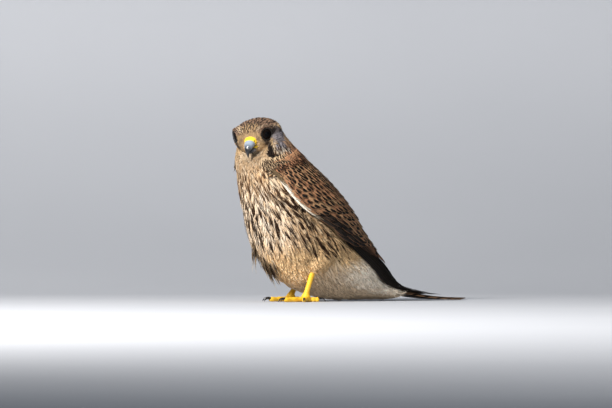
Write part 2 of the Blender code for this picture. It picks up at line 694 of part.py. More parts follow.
def covert_plate():
    """Plate under the coverts, thick at the wing's front and thin over the flight feathers."""
    share = np.linspace(0.0, 1.0, 8)
    flat = np.zeros(8)
    end = between(TIERS[-2][0], TIERS[-2][1], share) - 0.2
    # each row: station, offset of the top, offset of the underside
    rows = ((flat + WING_START, 5.0, 0.6), (flat + WING_START + 0.2, 6.8, 0.6), (flat + 2.4, TIER_TOP, 0.6),
            (flat + HAND_START - 0.03, TIER_TOP, 0.6), (flat + HAND_START - 0.015, TIER_TOP, TIER_UNDER),
            (between(4.0, 4.6, share), TIER_TOP, TIER_UNDER), (end, TIER_TOP + 0.4, TIER_UNDER + 1.1))
    top, bottom = [], []
    for stations, over, under in rows:
        angles = np.radians(tier_angle(stations, share))
        top.append(bed(stations, angles, flat + over))
        bottom.append(bed(stations, angles, flat + under))
    return sheet(top, bottom)


def coverts(rng):
    """Tiers of coverts and scapulars on their plate."""
    pieces = [covert_plate()]
    above = (WING_START + 0.3, WING_START + 0.3)
    for r, (low, high, count) in enumerate(TIERS):
        last = r == len(TIERS) - 1
        for j in range(count):
            share = (j + 0.5 + (0.15 if r % 2 else -0.15)) / count
            tip = between(low, high, share) + rng.uniform(-0.05, 0.05)
            root = between(above[0], above[1], share) - (0.4 if last else TIER_ROOT)
            wide = math.radians(tier_angle(tip - 0.3, 1.0) - tier_angle(tip - 0.3, 0.0)) / count
            turn = math.radians(tier_angle(tip - 0.3, share))
            apart = bed(tip - 0.3, turn + 0.01, 8.0) - bed(tip - 0.3, turn - 0.01, 8.0)
            reach = np.linalg.norm(apart) / 0.02
            half = 0.63 * wide * reach * rng.uniform(0.96, 1.04)
            heights = (7.15, 7.15, 7.7) if last else (TIER_TOP - 0.45, TIER_TOP + 0.6, TIER_TOP + TIER_RISE)

            def line(s, share=share):
                return tier_angle(s, share)

            def lay(s, root=root, tip=tip, heights=heights):
                return np.interp(s, (root, root + 0.05, tip), heights)
            stops = [root, root + 0.05, between(root, tip, 0.7), tip]
            pieces.append(vane(line, half, lay, stops, TIER_SLOPE, sides=(-1.0, 1.0)))
        above = (low, high)
    return pieces


def tail_space():
    """Room for the tail and the wings above the end of the rump."""
    stops = [TAIL_START - 0.06, 9.4, 10.2, 11.0, 12.0]
    top, bottom = [], []
    for s in stops:
        x = np.linspace(-26.0, 26.0, 7)
        top.append(roof(np.full(7, s), x, -22.0))
        bottom.append(roof(np.full(7, s), x, TAIL_TOP + 4.6))
    return sheet(top, bottom)


def tail_feather(i, side, rng):
    tip = TAIL_TIP - TAIL_STEP * i + rng.uniform(-0.03, 0.03)
    stops = ribs(TAIL_START + 0.15, tip, TAIL_RIBS)
    t = (np.array(stops) - stops[0]) / (stops[-1] - stops[0])
    width = TAIL_HALF[i] * np.interp(t, (0.0, 0.2, 0.8, 0.93, 1.0), (0.4, 0.8, 1.0, 0.9, 0.5))
    centre = side * np.interp(t, (0.0, 1.0), (0.6 + 0.9 * i, 1.4 + 2.3 * i))
    depth = TAIL_TOP + TAIL_DEPTH_STEP * i + (0.15 if side < 0 else 0.0)
    top, bottom = [], []
    for s, w, c in zip(stops, width, centre):
        x = c + w * np.array((-1.0, 0.0, 1.0))
        low = depth + 0.12 * side * np.array((-1.0, 0.0, 1.0))
        over, under = roof(np.full(3, s), x, low), roof(np.full(3, s), x, low + VANE)
        under[:, 2] = np.maximum(under[:, 2], 0.0)
        over[:, 2] = np.maximum(over[:, 2], under[:, 2] + 0.3)
        top.append(over)
        bottom.append(under)
    return sheet(top, bottom)


def build_tail(rng):
    stops = [TAIL_START, 9.1, 9.6]
    x = np.linspace(-8.0, 8.0, 5)
    top = [roof(np.full(5, s), x, TAIL_TOP - 0.05) for s in stops]
    bottom = [roof(np.full(5, s), x, TAIL_TOP + low) for s, low in zip(stops, (4.0, 3.6, 2.0))]
    pieces = [sheet(top, bottom)]
    for i in range(6):
        for side in (1, -1):
            pieces.append(tail_feather(i, side, rng))
    part("tail", "tail", pieces)


def build_wings():
    for side, name in ((1, "left"), (-1, "right")):
        rng = random.Random(SEED + side)
        for label, colour, make in (("primaries", "flight", primaries),
                                    ("secondaries", "chestnut", secondaries),
                                    ("coverts", "chestnut", coverts)):
            pieces = make(rng)
            if side < 0:
                pieces = [mirrored(p) for p in pieces]
            part("wing_%s_%s" % (name, label), colour, pieces)


# Legs

def tarsus_form(i, grow=0.0):
    low, high = np.array(ANKLES[i]), np.array(HEELS[i])
    return tube([between(low, high, t) for t in SHANK_SHARES], SHANK_RADII, 10, grow=grow)


def thigh_form(i, grow=0.0):
    heel, hip = np.array(HEELS[i]), np.array(HIPS[i])
    return tube([between(heel, hip, t) for t in THIGH_SHARES], THIGH_RADII, 14, grow=grow)


def toe_path(i, turn, length):
    angle = math.radians(turn)
    ahead = np.array((math.sin(angle), -math.cos(angle), 0.0))
    foot = np.array((ANKLES[i][0], ANKLES[i][1], 0.0))
    points = [foot + ahead * length * t + np.array((0.0, 0.0, h)) for t, h in zip(TOE_SHARES, TOE_HEIGHTS)]
    return points, [TOE_RADIUS * r for r in TOE_SWELL], ahead


def claw_form(tip, ahead, length, grow=0.0):
    """Curved claw from inside the toe's tip down to the floor."""
    points, radii = [], []
    for t in CLAW_STEPS:
        bend = math.radians(20.0 - 95.0 * t)
        if points:
            step = ahead * math.cos(bend) + np.array((0.0, 0.0, math.sin(bend)))
            points.append(points[-1] + length * 0.25 * step)
        else:
            points.append(tip - ahead * 1.8 + np.array((0.0, 0.0, 0.2)))
        radii.append(1.35 * (1 - t) ** 0.8 + 0.12)
    lift = min(p[2] - r for p, r in zip(points, radii))
    points = [p + np.array((0.0, 0.0, max(0.0, 0.05 - lift) * t)) for p, t in zip(points, CLAW_STEPS)]
    return tube(points, radii, 6, floor=None if grow else 0.0, grow=grow)


def build_legs():
    for i, name in enumerate(("left", "right")):
        claws, pieces = [], []
        middle = np.array((ANKLES[i][0], ANKLES[i][1], PAD_MIDDLE))
        pieces.append(tube([middle + (0, 0, z) for z in PAD_HEIGHTS], PAD_RADII, 12, floor=0.0))
        for digit, left_turn, right_turn, length in TOES:
            points, radii, ahead = toe_path(i, left_turn if i == 0 else right_turn, length)
            pieces.append(tube(points, radii, 7, floor=0.0))
            claws.append((digit, points[-1], ahead))
        cuts = [tarsus_form(i, GAP)]
        for digit, tip, ahead in claws:
            cuts.append(claw_form(tip, ahead, CLAW_LENGTH, GAP))
            part("claw_%s_%s" % (name, digit), "claw", [claw_form(tip, ahead, CLAW_LENGTH)], roughness=0.3)
        part("foot_" + name, "skin", pieces, cuts, roughness=0.5)
        part("tarsus_" + name, "skin", [tarsus_form(i)], roughness=0.5)
        part("thigh_" + name, "thigh", [thigh_form(i)], [tarsus_form(i, GAP)])


def build():
    for obj in list(bpy.data.objects):
        bpy.data.objects.remove(obj)
    build_head()
    build_trunk()
    build_tail(random.Random(SEED))
    build_wings()
    build_legs()


build()
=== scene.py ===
"""The kestrel's looks: one skin, its coat of feathers, flight and tail feathers, head, legs, stage."""
import bpy
import math
import numpy as np
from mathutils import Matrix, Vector
from mathutils.bvhtree import BVHTree
from mathutils.kdtree import KDTree

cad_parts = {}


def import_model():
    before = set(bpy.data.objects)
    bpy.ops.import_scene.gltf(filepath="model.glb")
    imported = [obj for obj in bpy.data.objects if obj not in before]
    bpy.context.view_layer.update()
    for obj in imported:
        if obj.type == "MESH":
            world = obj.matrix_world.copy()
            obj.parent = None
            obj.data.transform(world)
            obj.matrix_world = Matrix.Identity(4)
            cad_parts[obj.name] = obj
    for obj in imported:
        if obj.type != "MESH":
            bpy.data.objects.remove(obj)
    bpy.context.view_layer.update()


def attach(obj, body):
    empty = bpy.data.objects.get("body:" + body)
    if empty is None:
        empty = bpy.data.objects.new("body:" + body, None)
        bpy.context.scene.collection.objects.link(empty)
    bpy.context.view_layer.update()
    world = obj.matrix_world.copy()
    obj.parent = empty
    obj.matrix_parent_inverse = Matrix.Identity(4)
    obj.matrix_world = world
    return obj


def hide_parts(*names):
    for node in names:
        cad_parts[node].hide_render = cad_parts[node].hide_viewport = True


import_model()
MM = 0.001
SHIFT_Y = -60.5
rng = np.random.default_rng(5)

# The body under its wings: back (y, z), belly (y, z), half width, narrowing below, in millimetres
STATIONS = np.array((
    (-33.5, 159.0, -53.0, 147.5, 19.5, 0.00),
    (-24.0, 148.0, -57.5, 131.5, 24.0, 0.00),
    (-8.5, 131.5, -55.0, 116.0, 28.0, 0.00),
    (12.5, 114.3, -51.5, 99.0, 33.0, 0.00),
    (31.7, 97.3, -47.5, 82.0, 36.0, 0.00),
    (47.0, 80.3, -43.5, 65.0, 37.0, 0.00),
    (59.0, 63.1, -37.0, 46.0, 36.0, 0.10),
    (71.8, 48.5, -23.0, 28.5, 33.0, 0.28),
    (84.0, 37.3, 0.0, 13.5, 28.5, 0.38),
    (91.0, 28.3, 32.0, 5.0, 23.0, 0.30),
    (98.0, 20.2, 60.0, 3.6, 18.5, 0.10),
    (108.0, 13.0, 85.0, 3.0, 17.0, 0.00),
    (126.0, 8.6, 113.0, 2.0, 16.5, 0.00),
    (146.0, 5.4, 138.0, 0.6, 17.0, 0.00),
    (168.0, 4.0, 163.0, -0.2, 18.5, 0.00),
    (190.0, 3.6, 187.0, -0.4, 20.0, 0.00),
))
WING_EDGE = np.array(((1.4, -41.0), (2.2, -30.0), (3.4, -24.0), (4.0, -19.0), (4.5, -12.0),
                      (5.3, 2.0), (6.3, 14.0), (7.2, 24.0), (8.3, 25.0), (9.9, 14.0), (11.5, 12.0),
                      (13.5, 22.0)))
MANTLE = np.array(((1.6, 17.0), (2.5, 15.0), (4.5, 10.0), (5.6, 5.0), (6.4, 1.6), (14.0, 2.5)))
WING_START = 1.76
PLUMAGE = 6.0
VENT_PLUMAGE = 4.5
RUMP_END = 11.4
TAIL_START = 8.70

HEAD_AT = np.array((0.0, -45.8, 151.8))
HEAD_TURN = (33.0, 22.0, 5.5)
HEAD_LEAN = 0.15
HEAD_SECTIONS = np.array((
    (-24.0, 4.0, 3.6, -4.5),
    (-21.5, 11.0, 9.2, -11.0),
    (-16.0, 18.0, 13.2, -15.5),
    (-8.0, 22.4, 15.4, -17.5),
    (0.0, 23.4, 15.9, -18.0),
    (7.0, 21.0, 14.8, -17.0),
    (11.0, 17.8, 13.0, -15.2),
    (14.0, 14.2, 10.6, -12.8),
    (16.3, 10.2, 8.2, -10.8),
    (17.4, 7.6, 6.9, -9.6),
))
HEAD_RELIEF = (
    ((11.5, 13.0, 10.8), 3.6, 1.0),
    ((14.8, 11.0, 1.0), 2.6, -0.9),
    ((6.0, 18.5, -7.0), 5.5, 0.9),
    ((2.0, 21.0, 3.0), 4.5, -0.5),
)
EYE_AT = (12.5, 15.4, 4.5)
EYE_RADIUS = 7.0
EYE_DEPTH = 5.1
EYE_FORWARD = 49.0
FACE_AT = (12.0, 0.0, 3.0)
FACE_RADIUS = 20.0
CERE = ((14.2, 5.4, 13.2, -4.5, 6.4), (16.2, 5.3, 14.8, -4.5, 6.3), (18.6, 4.5, 16.8, -4.5, 5.9),
        (20.4, 3.4, 18.2, -4.5, 5.4))
UPPER_BILL = ((20.6, 3.25, 18.4, -4.5, 5.25), (23.6, 2.0, 20.8, -4.8, 4.5), (26.2, 0.2, 23.4, -5.2, 3.6),
              (28.3, -2.5, 25.6, -5.8, 2.6), (29.6, -5.6, 27.4, -7.2, 1.6), (30.0, -8.2, 28.6, -9.0, 0.8),
              (29.8, -10.3, 29.6, -10.5, 0.15))
LOWER_BILL = ((13.0, -4.95, 12.2, -8.4, 5.6), (18.3, -4.95, 17.3, -9.0, 4.7), (22.4, -5.6, 21.4, -9.2, 3.2),
              (24.6, -6.3, 24.2, -8.4, 1.7), (25.3, -7.1, 25.2, -7.7, 0.3))

ANKLES = ((17.5, -3.8, 6.2), (-15.0, 2.2, 6.2))
HEELS = ((23.5, 0.8, 31.0), (-18.5, 19.0, 27.0))
HIPS = ((27.5, 8.0, 45.0), (-23.5, 22.0, 39.0))
TOES = (("inner", -26.0, 38.0, 17.0), ("middle", 6.0, 8.0, 27.0), ("outer", 50.0, -34.0, 20.0),
        ("hind", 162.0, 172.0, 12.5))
TOE_RADIUS = 2.3
CLAW_LENGTH = 10.5


# Curves and the bed

def spline(rows, at):
    at = np.clip(np.asarray(at, float), 0.0, len(rows) - 1.0 - 1e-9)
    i = np.floor(at).astype(int)
    t = (at - i)[..., None]
    last = len(rows) - 1
    a, b = rows[np.clip(i - 1, 0, last)], rows[i]
    c, d = rows[np.clip(i + 1, 0, last)], rows[np.clip(i + 2, 0, last)]
    return 0.5 * (2 * b + (c - a) * t + (2 * a - 5 * b + 4 * c - d) * t ** 2 + (3 * b - 3 * c + d - a) * t ** 3)


def bed(s, psi, out=0.0):
    """Point of the bed at station s and angle psi (radians), moved outwards."""
    s, psi, out = np.broadcast_arrays(np.asarray(s, float), psi, out)
    row = spline(STATIONS, s)
    back, belly = row[..., 0:2], row[..., 2:4]
    middle = (back + belly) / 2
    half = np.linalg.norm(back - belly, axis=-1) / 2
    up = (back - belly) / (2 * half)[..., None]
    low = np.clip(-np.sin(psi), 0.0, 1.0)
    x = (row[..., 4] + out) * np.cos(psi) * (1.0 - row[..., 5] * low)
    rise = (half + out) * np.sin(psi)
    return np.stack([x, middle[..., 0] + rise * up[..., 0], middle[..., 1] + rise * up[..., 1]], -1)


def roof(s, x, depth):
    """Point below the top of the tail at station s, x to the side."""
    s, x, depth = np.broadcast_arrays(np.asarray(s, float), x, depth)
    row = spline(STATIONS, s)
    back, belly = row[..., 0:2], row[..., 2:4]
    half = np.linalg.norm(back - belly, axis=-1) / 2
    up = (back - belly) / (2 * half)[..., None]
    across = np.clip(np.abs(x) / row[..., 4], 0.0, 0.93)
    drop = half * (1 - np.sqrt(1 - across ** 2)) + depth
    return np.stack([x, back[..., 0] - drop * up[..., 0], back[..., 1] - drop * up[..., 1]], -1)


def table(rows, at):
    return np.interp(at, rows[:, 0], rows[:, 1])


def smooth(t):
    t = np.clip(t, 0.0, 1.0)
    return t * t * (3 - 2 * t)


def between(low, high, share):
    return low + (high - low) * share


def unit(v):
    return v / np.maximum(np.linalg.norm(v, axis=-1, keepdims=True), 1e-9)


def head_axes():
    yaw, pitch, roll = (math.radians(a) for a in HEAD_TURN)
    ahead = np.array((math.sin(yaw), -math.cos(yaw), 0.0))
    left = np.array((math.cos(yaw), math.sin(yaw), 0.0))
    up = np.array((0.0, 0.0, 1.0))
    forward = math.cos(pitch) * ahead - math.sin(pitch) * up
    crown = math.sin(pitch) * ahead + math.cos(pitch) * up
    return np.array((forward, left * math.cos(roll) + crown * math.sin(roll),
                     crown * math.cos(roll) - left * math.sin(roll)))


HEAD_FRAME = head_axes()


def from_head(points):
    return HEAD_AT + np.asarray(points, float) @ HEAD_FRAME


def to_head(points):
    return (np.asarray(points, float) - HEAD_AT) @ HEAD_FRAME.T


def world(points):
    return (np.asarray(points, float) + np.array((0.0, SHIFT_Y, 0.0))) * MM


# Meshes

def new_mesh(name, points, *groups):
    """Mesh object in metres from points in millimetres; each group's faces have one number of corners."""
    groups = [np.asarray(g, np.int32) for g in groups]
    corners = np.concatenate([np.full(len(g), g.shape[1], np.int32) for g in groups])
    mesh = bpy.data.meshes.new(name)
    mesh.vertices.add(len(points))
    mesh.vertices.foreach_set("co", world(points).astype(np.float32).ravel())
    mesh.loops.add(int(corners.sum()))
    mesh.loops.foreach_set("vertex_index", np.concatenate([g.ravel() for g in groups]))
    mesh.polygons.add(len(corners))
    mesh.polygons.foreach_set("loop_start", np.concatenate([[0], np.cumsum(corners)[:-1]]).astype(np.int32))
    mesh.polygons.foreach_set("use_smooth", np.ones(len(corners), bool))
    mesh.update(calc_edges=True)
    obj = bpy.data.objects.new(name, mesh)
    bpy.context.scene.collection.objects.link(obj)
    return obj


def loft_faces(rows, sides, base=0, caps=True):
    faces = []
    for i in range(rows - 1):
        for j in range(sides):
            k = (j + 1) % sides
            faces.append((base + i * sides + j, base + i * sides + k, base + (i + 1) * sides + k,
                          base + (i + 1) * sides + j))
    return faces


def loft(rings):
    """Closed tube through rings, its ends drawn to a middle point: (points, quads)."""
    rings = np.asarray(rings, float)
    rows, sides = rings.shape[:2]
    first, last = rings[0].mean(0), rings[-1].mean(0)
    rings = np.concatenate([[np.tile(first, (sides, 1)) * 0.999 + rings[0] * 0.001], rings,
                            [np.tile(last, (sides, 1)) * 0.999 + rings[-1] * 0.001]])
    return rings.reshape(-1, 3), np.array(loft_faces(rows + 2, sides))


def join(pieces):
    """One (points, quads) from several."""
    points, faces, base = [], [], 0
    for p, f in pieces:
        points.append(p)
        faces.append(np.asarray(f) + base)
        base += len(p)
    return np.concatenate(points), np.concatenate(faces)


def outward(piece):
    points, faces = piece
    a, b, c, d = (points[faces[:, k]] for k in range(4))
    volume = (np.einsum("ij,ij->i", a, np.cross(b, c)) + np.einsum("ij,ij->i", a, np.cross(c, d))).sum()
    return (points, faces[:, ::-1]) if volume < 0 else piece


def tube(points, radii, sides=20):
    points, radii = np.array(points, float), np.array(radii, float)
    rings = []
    side = np.array((1.0, 0.0, 0.0))
    turn = np.arange(sides) * 2 * math.pi / sides
    for i, (at, r) in enumerate(zip(points, radii)):
        along = unit(points[min(i + 1, len(points) - 1)] - points[max(i - 1, 0)])
        other = unit(np.cross(along, side))
        side = np.cross(other, along)
        rings.append(at + r * (np.outer(np.cos(turn), side) + np.outer(np.sin(turn), other)))
    return outward(loft(rings))


def remeshed(name, pieces, voxel, rounds):
    """Union of closed pieces as one even mesh, smoothed."""
    points, faces = join([outward(p) for p in pieces])
    obj = new_mesh(name, points, faces)
    remesh = obj.modifiers.new("remesh", 'REMESH')
    remesh.mode = 'VOXEL'
    remesh.voxel_size = voxel * MM
    remesh.adaptivity = 0.0
    ease = obj.modifiers.new("smooth", 'SMOOTH')
    ease.factor = 0.5
    ease.iterations = rounds
    graph = bpy.context.evaluated_depsgraph_get()
    mesh = bpy.data.meshes.new_from_object(obj.evaluated_get(graph))
    obj.modifiers.clear()
    old = obj.data
    obj.data = mesh
    bpy.data.meshes.remove(old)
    mesh.name = name
    mesh.shade_smooth()
    return obj


def vertices_of(obj):
    """Vertex places in millimetres in the bird's own frame."""
    co = np.zeros(len(obj.data.vertices) * 3, np.float32)
    obj.data.vertices.foreach_get("co", co)
    return co.reshape(-1, 3).astype(float) / MM - np.array((0.0, SHIFT_Y, 0.0))


def normals_of(obj):
    n = np.zeros(len(obj.data.vertices) * 3, np.float32)
    obj.data.vertex_normals.foreach_get("vector", n)
    return n.reshape(-1, 3).astype(float)


def set_attribute(mesh, name, values):
    """Colour of four numbers for each vertex."""
    values = np.asarray(values, np.float32)
    if values.shape[1] == 3:
        values = np.concatenate([values, np.ones((len(values), 1), np.float32)], 1)
    layer = mesh.color_attributes.new(name, 'FLOAT_COLOR', 'POINT')
    layer.data.foreach_set("color", values.ravel())


def set_uv(mesh, name, per_vertex):
    index = np.zeros(len(mesh.loops), np.int32)
    mesh.loops.foreach_get("vertex_index", index)
    layer = mesh.uv_layers.new(name=name)
    layer.uv.foreach_set("vector", np.asarray(per_vertex, np.float32)[index].ravel())


def lens_template(rows, columns):
    """Quads of a thin closed vane: a top grid, and a lower side that shares the top's rim."""
    top = [(i * columns + j, i * columns + j + 1, (i + 1) * columns + j + 1, (i + 1) * columns + j)
           for i in range(rows - 1) for j in range(columns - 1)]
    inner = columns - 2

    def low(i, j):
        if i in (0, rows - 1) or j in (0, columns - 1):
            return i * columns + j
        return rows * columns + (i - 1) * inner + j - 1
    bottom = [(low(i, j + 1), low(i, j), low(i + 1, j), low(i + 1, j + 1))
              for i in range(rows - 1) for j in range(columns - 1)]
    return np.array(top + bottom, np.int32)


def strand_template(rings):
    """Faces of a thin three-sided strand of some rings."""
    quads = [(3 * i + j, 3 * i + (j + 1) % 3, 3 * i + 3 + (j + 1) % 3, 3 * i + 3 + j)
             for i in range(rings - 1) for j in range(3)]
    last = 3 * (rings - 1)
    return np.array(quads, np.int32), np.array(((0, 2, 1), (last, last + 1, last + 2)), np.int32)


KEYS = ("base", "mark", "edge", "kind")


def vane_mesh(batch):
    """Points [m, n, 3], quads, place on the vane [n, 2] of a batch of vanes."""
    top, normal = batch["top"], batch["normal"]
    m, rows, columns = top.shape[:3]
    under = (top - normal * batch["thick"])[:, 1:-1, 1:-1]
    own = np.concatenate([top.reshape(m, -1, 3), under.reshape(m, -1, 3)], 1)
    v, u = np.meshgrid(np.linspace(0, 1, rows), np.linspace(0, 1, columns), indexing="ij")
    uv = np.stack([u, v], -1)
    uv = np.concatenate([uv.reshape(-1, 2), uv[1:-1, 1:-1].reshape(-1, 2)])
    template = lens_template(rows, columns)
    a, b, c = (top[:, i, j] for i, j in ((1, 0), (1, 1), (2, 0)))
    if (np.cross(b - a, c - a) * normal[:, 1, 1]).sum() < 0:
        template = template[:, ::-1]
    return own, template, None, uv


def strand_mesh(batch):
    """The same for a batch of strands: path [m, rings, 3], normals and sides alike, radius [m, rings]."""
    path, normal, side, radius = (batch[k] for k in ("path", "normal", "side", "radius"))
    m, rings = path.shape[:2]
    turn = np.array((0.5, 0.5 + 2 / 3, 0.5 + 4 / 3)) * math.pi
    ring = (np.cos(turn)[:, None] * side[:, :, None] + np.sin(turn)[:, None] * normal[:, :, None])
    own = (path[:, :, None] + ring * radius[..., None, None]).reshape(m, -1, 3)
    quads, ends = strand_template(rings)
    uv = np.stack([np.full(3 * rings, 0.5), np.repeat(np.linspace(0.0, 1.0, rings), 3)], -1)
    return own, quads, ends, uv


def coat_piece(name, batches, material):
    """One mesh of many vanes or strands.

    A batch has for each of them the colours base, mark and edge, its kind [m, 4], and its place on the
    skin's unwrap [m, 2], where it takes a patch 0.003 across."""
    points, quads, ends, maps, bakes, base = [], [], [], [], [], 0
    colours = {key: [] for key in KEYS}
    for batch in batches:
        own, faces, caps, uv = vane_mesh(batch) if "top" in batch else strand_mesh(batch)
        m, count = own.shape[:2]
        offset = (np.arange(m) * count)[:, None, None] + base
        points.append(own.reshape(-1, 3))
        quads.append((faces[None] + offset).reshape(-1, 4))
        if caps is not None:
            ends.append((caps[None] + offset).reshape(-1, 3))
        maps.append(np.tile(uv, (m, 1)) if "span" not in batch else
                    (uv[None] * (batch["span"][:, 2:] - batch["span"][:, :2])[:, None] + batch["span"][:, None, :2])
                    .reshape(-1, 2))
        bakes.append((batch["place"][:, None] + (uv[None] - 0.5) * 0.003).reshape(-1, 2))
        for key in KEYS:
            colours[key].append(np.repeat(batch[key], count, 0))
        base += m * count
    groups = [np.concatenate(quads)] + ([np.concatenate(ends)] if ends else [])
    obj = new_mesh(name, np.concatenate(points), *groups)
    set_uv(obj.data, "Vane", np.concatenate(maps))
    set_uv(obj.data, "OFBake", np.concatenate(bakes))
    for key in KEYS:
        set_attribute(obj.data, key, np.concatenate(colours[key]))
    obj.data.materials.append(material)
    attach(obj, "root")
    return obj


def four(colour, last=1.0):
    return np.array((*colour, last))


# Materials

class Nodes:
    """Short way to write a material's node tree."""

    def __init__(self, name):
        self.material = bpy.data.materials.new(name)
        self.material.use_nodes = True
        self.tree = self.material.node_tree
        self.shader = self.tree.nodes["Principled BSDF"]

    def node(self, kind, **settings):
        made = self.tree.nodes.new(kind)
        for key, value in settings.items():
            setattr(made, key, value)
        return made

    def link(self, value, socket):
        if isinstance(value, bpy.types.NodeSocket):
            self.tree.links.new(value, socket)
        else:
            socket.default_value = value

    def math(self, operation, a, b=0.0, c=0.0, clamp=False):
        made = self.node("ShaderNodeMath", operation=operation, use_clamp=clamp)
        for value, socket in zip((a, b, c), made.inputs):
            self.link(value, socket)
        return made.outputs[0]

    def mix(self, share, a, b, blend='MIX'):
        made = self.node("ShaderNodeMix", data_type='RGBA', blend_type=blend, clamp_factor=True)
        self.link(share, made.inputs[0])
        for value, socket in ((a, made.inputs[6]), (b, made.inputs[7])):
            if isinstance(value, tuple) and len(value) == 3:
                value = (*value, 1.0)
            self.link(value, socket)
        return made.outputs[2]

    def noise(self, scale, detail=3.0, vector=None, out=0):
        made = self.node("ShaderNodeTexNoise")
        made.inputs["Scale"].default_value = scale
        made.inputs["Detail"].default_value = detail
        if vector is not None:
            self.link(vector, made.inputs["Vector"])
        return made.outputs[out]

    def position(self):
        return self.node("ShaderNodeTexCoord").outputs["Object"]

    def attribute(self, name):
        made = self.node("ShaderNodeAttribute", attribute_name=name)
        return made.outputs["Color"], made.outputs["Alpha"]

    def split(self, colour):
        made = self.node("ShaderNodeSeparateColor")
        self.link(colour, made.inputs[0])
        return made.outputs[0], made.outputs[1], made.outputs[2]

    def bump(self, height, distance, strength=1.0):
        made = self.node("ShaderNodeBump")
        made.inputs["Strength"].default_value = strength
        made.inputs["Distance"].default_value = distance
        self.link(height, made.inputs["Height"])
        self.link(made.outputs[0], self.shader.inputs["Normal"])

    def finish(self, **values):
        for key, value in values.items():
            self.link(value, self.shader.inputs[key.replace("_", " ")])
        return self.material


def feather_material(name, barbs, bars, roughness, relief, sheen, blunt=0.7):
    """Vane with a dark drop or arrow along its shaft, a paler rim and fine barbs.

    Attributes: base, mark and edge colours (alpha of edge: width of the rim), and kind = (half width,
    start, end of the mark along the vane, alpha: number of cross bars)."""
    n = Nodes(name)
    uv = n.node("ShaderNodeUVMap", uv_map="Vane").outputs[0]
    parts = n.node("ShaderNodeSeparateXYZ")
    n.link(uv, parts.inputs[0])
    across = n.math('ABSOLUTE', n.math('MULTIPLY_ADD', parts.outputs[0], 2.0, -1.0))
    along = parts.outputs[1]
    place = n.position()
    base, _ = n.attribute("base")
    mark, _ = n.attribute("mark")
    edge, rim = n.attribute("edge")
    kind, count = n.attribute("kind")
    width, start, end = n.split(kind)
    rough = n.noise(900.0, 2.0, place)
    t = n.math('DIVIDE', n.math('SUBTRACT', along, start), n.math('SUBTRACT', end, start))
    rise = n.math('MINIMUM', n.math('DIVIDE', t, 0.65), n.math('DIVIDE', n.math('SUBTRACT', 1.0, t), 0.35))
    rise = n.math('POWER', n.math('MAXIMUM', rise, 0.0), blunt)
    wobble = n.math('MULTIPLY_ADD', n.math('SUBTRACT', rough, 0.5), 0.5, across)
    drop = n.math('DIVIDE', n.math('SUBTRACT', n.math('MULTIPLY', n.math('MINIMUM', rise, 1.0), width), wobble),
                  0.16, clamp=True)
    drop = n.math('MULTIPLY', drop, n.math('GREATER_THAN', width, 0.001))
    if bars:
        wave = n.math('SINE', n.math('MULTIPLY', n.math('MULTIPLY', along, count), 2 * math.pi))
        band = n.math('MULTIPLY_ADD', n.math('SUBTRACT', wave, 0.35), 3.0, n.math('SUBTRACT', rough, 0.5), clamp=True)
        band = n.math('MULTIPLY', band, n.math('GREATER_THAN', count, 0.5))
        drop = n.math('MAXIMUM', drop, band)
    tip = n.math('MULTIPLY', n.math('SUBTRACT', along, 0.86), 7.0)
    reach = n.math('MAXIMUM', across, tip)
    fringe = n.math('DIVIDE', n.math('SUBTRACT', reach, n.math('SUBTRACT', 1.0, rim)), 0.1, clamp=True)
    fringe = n.math('MULTIPLY', fringe, n.math('GREATER_THAN', rim, 0.001))
    colour = n.mix(drop, base, mark)
    colour = n.mix(fringe, colour, edge)
    barb = n.math('SINE', n.math('MULTIPLY', n.math('SUBTRACT', along, n.math('MULTIPLY', across, 0.16)), barbs))
    shade = n.math('MULTIPLY_ADD', barb, 0.05, n.math('MULTIPLY_ADD', n.noise(260.0, 3.0, place), 0.3, 0.85))
    tone = n.node("ShaderNodeCombineColor")
    for k in range(3):
        n.link(shade, tone.inputs[k])
    colour = n.mix(1.0, colour, tone.outputs[0], 'MULTIPLY')
    quill = n.math('MULTIPLY', n.math('LESS_THAN', across, 0.07), 0.8)
    height = n.math('ADD', n.math('MULTIPLY', barb, 0.5), quill)
    n.bump(height, relief * MM, 0.6)
    return n.finish(Base_Color=colour, Roughness=roughness, Sheen_Weight=sheen, Sheen_Roughness=0.5,
                    Specular_IOR_Level=0.12)


def plain_material(name, roughness, specks=0.12, relief=0.1, **values):
    """Material coloured by the mesh's own colour attribute, with fine grain."""
    n = Nodes(name)
    place = n.position()
    base, _ = n.attribute("base")
    shade = n.math('MULTIPLY_ADD', n.noise(420.0, 4.0, place), 2 * specks, 1.0 - specks)
    tone = n.node("ShaderNodeCombineColor")
    for k in range(3):
        n.link(shade, tone.inputs[k])
    n.bump(n.noise(700.0, 3.0, place), relief * MM)
    return n.finish(Base_Color=n.mix(1.0, base, tone.outputs[0], 'MULTIPLY'), Roughness=roughness, **values)


FEATHER = feather_material("body_feather", 90.0, False, 0.8, 0.08, 0.0)
COVERT_MATERIAL = feather_material("covert_feather", 420.0, True, 0.6, 0.08, 0.0, 0.4)
VANE_MATERIAL = feather_material("flight_feather", 900.0, True, 0.5, 0.08, 0.0)
SKIN_MATERIAL = plain_material("feathered_skin", 0.75)

# Where the plumage is

def outer(s, psi):
    """Height of the plumage over the bed at a station and folded angle in degrees."""
    coat = np.where(s < 6.0, PLUMAGE, np.interp(s, (6.0, 8.0, RUMP_END), (PLUMAGE, VENT_PLUMAGE, 1.5)))
    edge = table(WING_EDGE, s)
    bare = 90.0 - table(MANTLE, s)
    ridge = np.interp(s, (1.6, 4.6, 6.2), (PLUMAGE, PLUMAGE, 0.0))
    winged = smooth((s - 1.55) / 0.2)
    low = coat * (1 - winged * smooth((psi - edge + 3.0) / 4.0))
    high = ridge * smooth((psi - bare + 2.0) / 4.0) * winged
    return np.maximum(low, high)


def coat_depth(s):
    return np.interp(s, (0.0, 1.5, 5.0, 9.0, RUMP_END), (1.4, 1.8, 2.2, 1.8, 0.8))


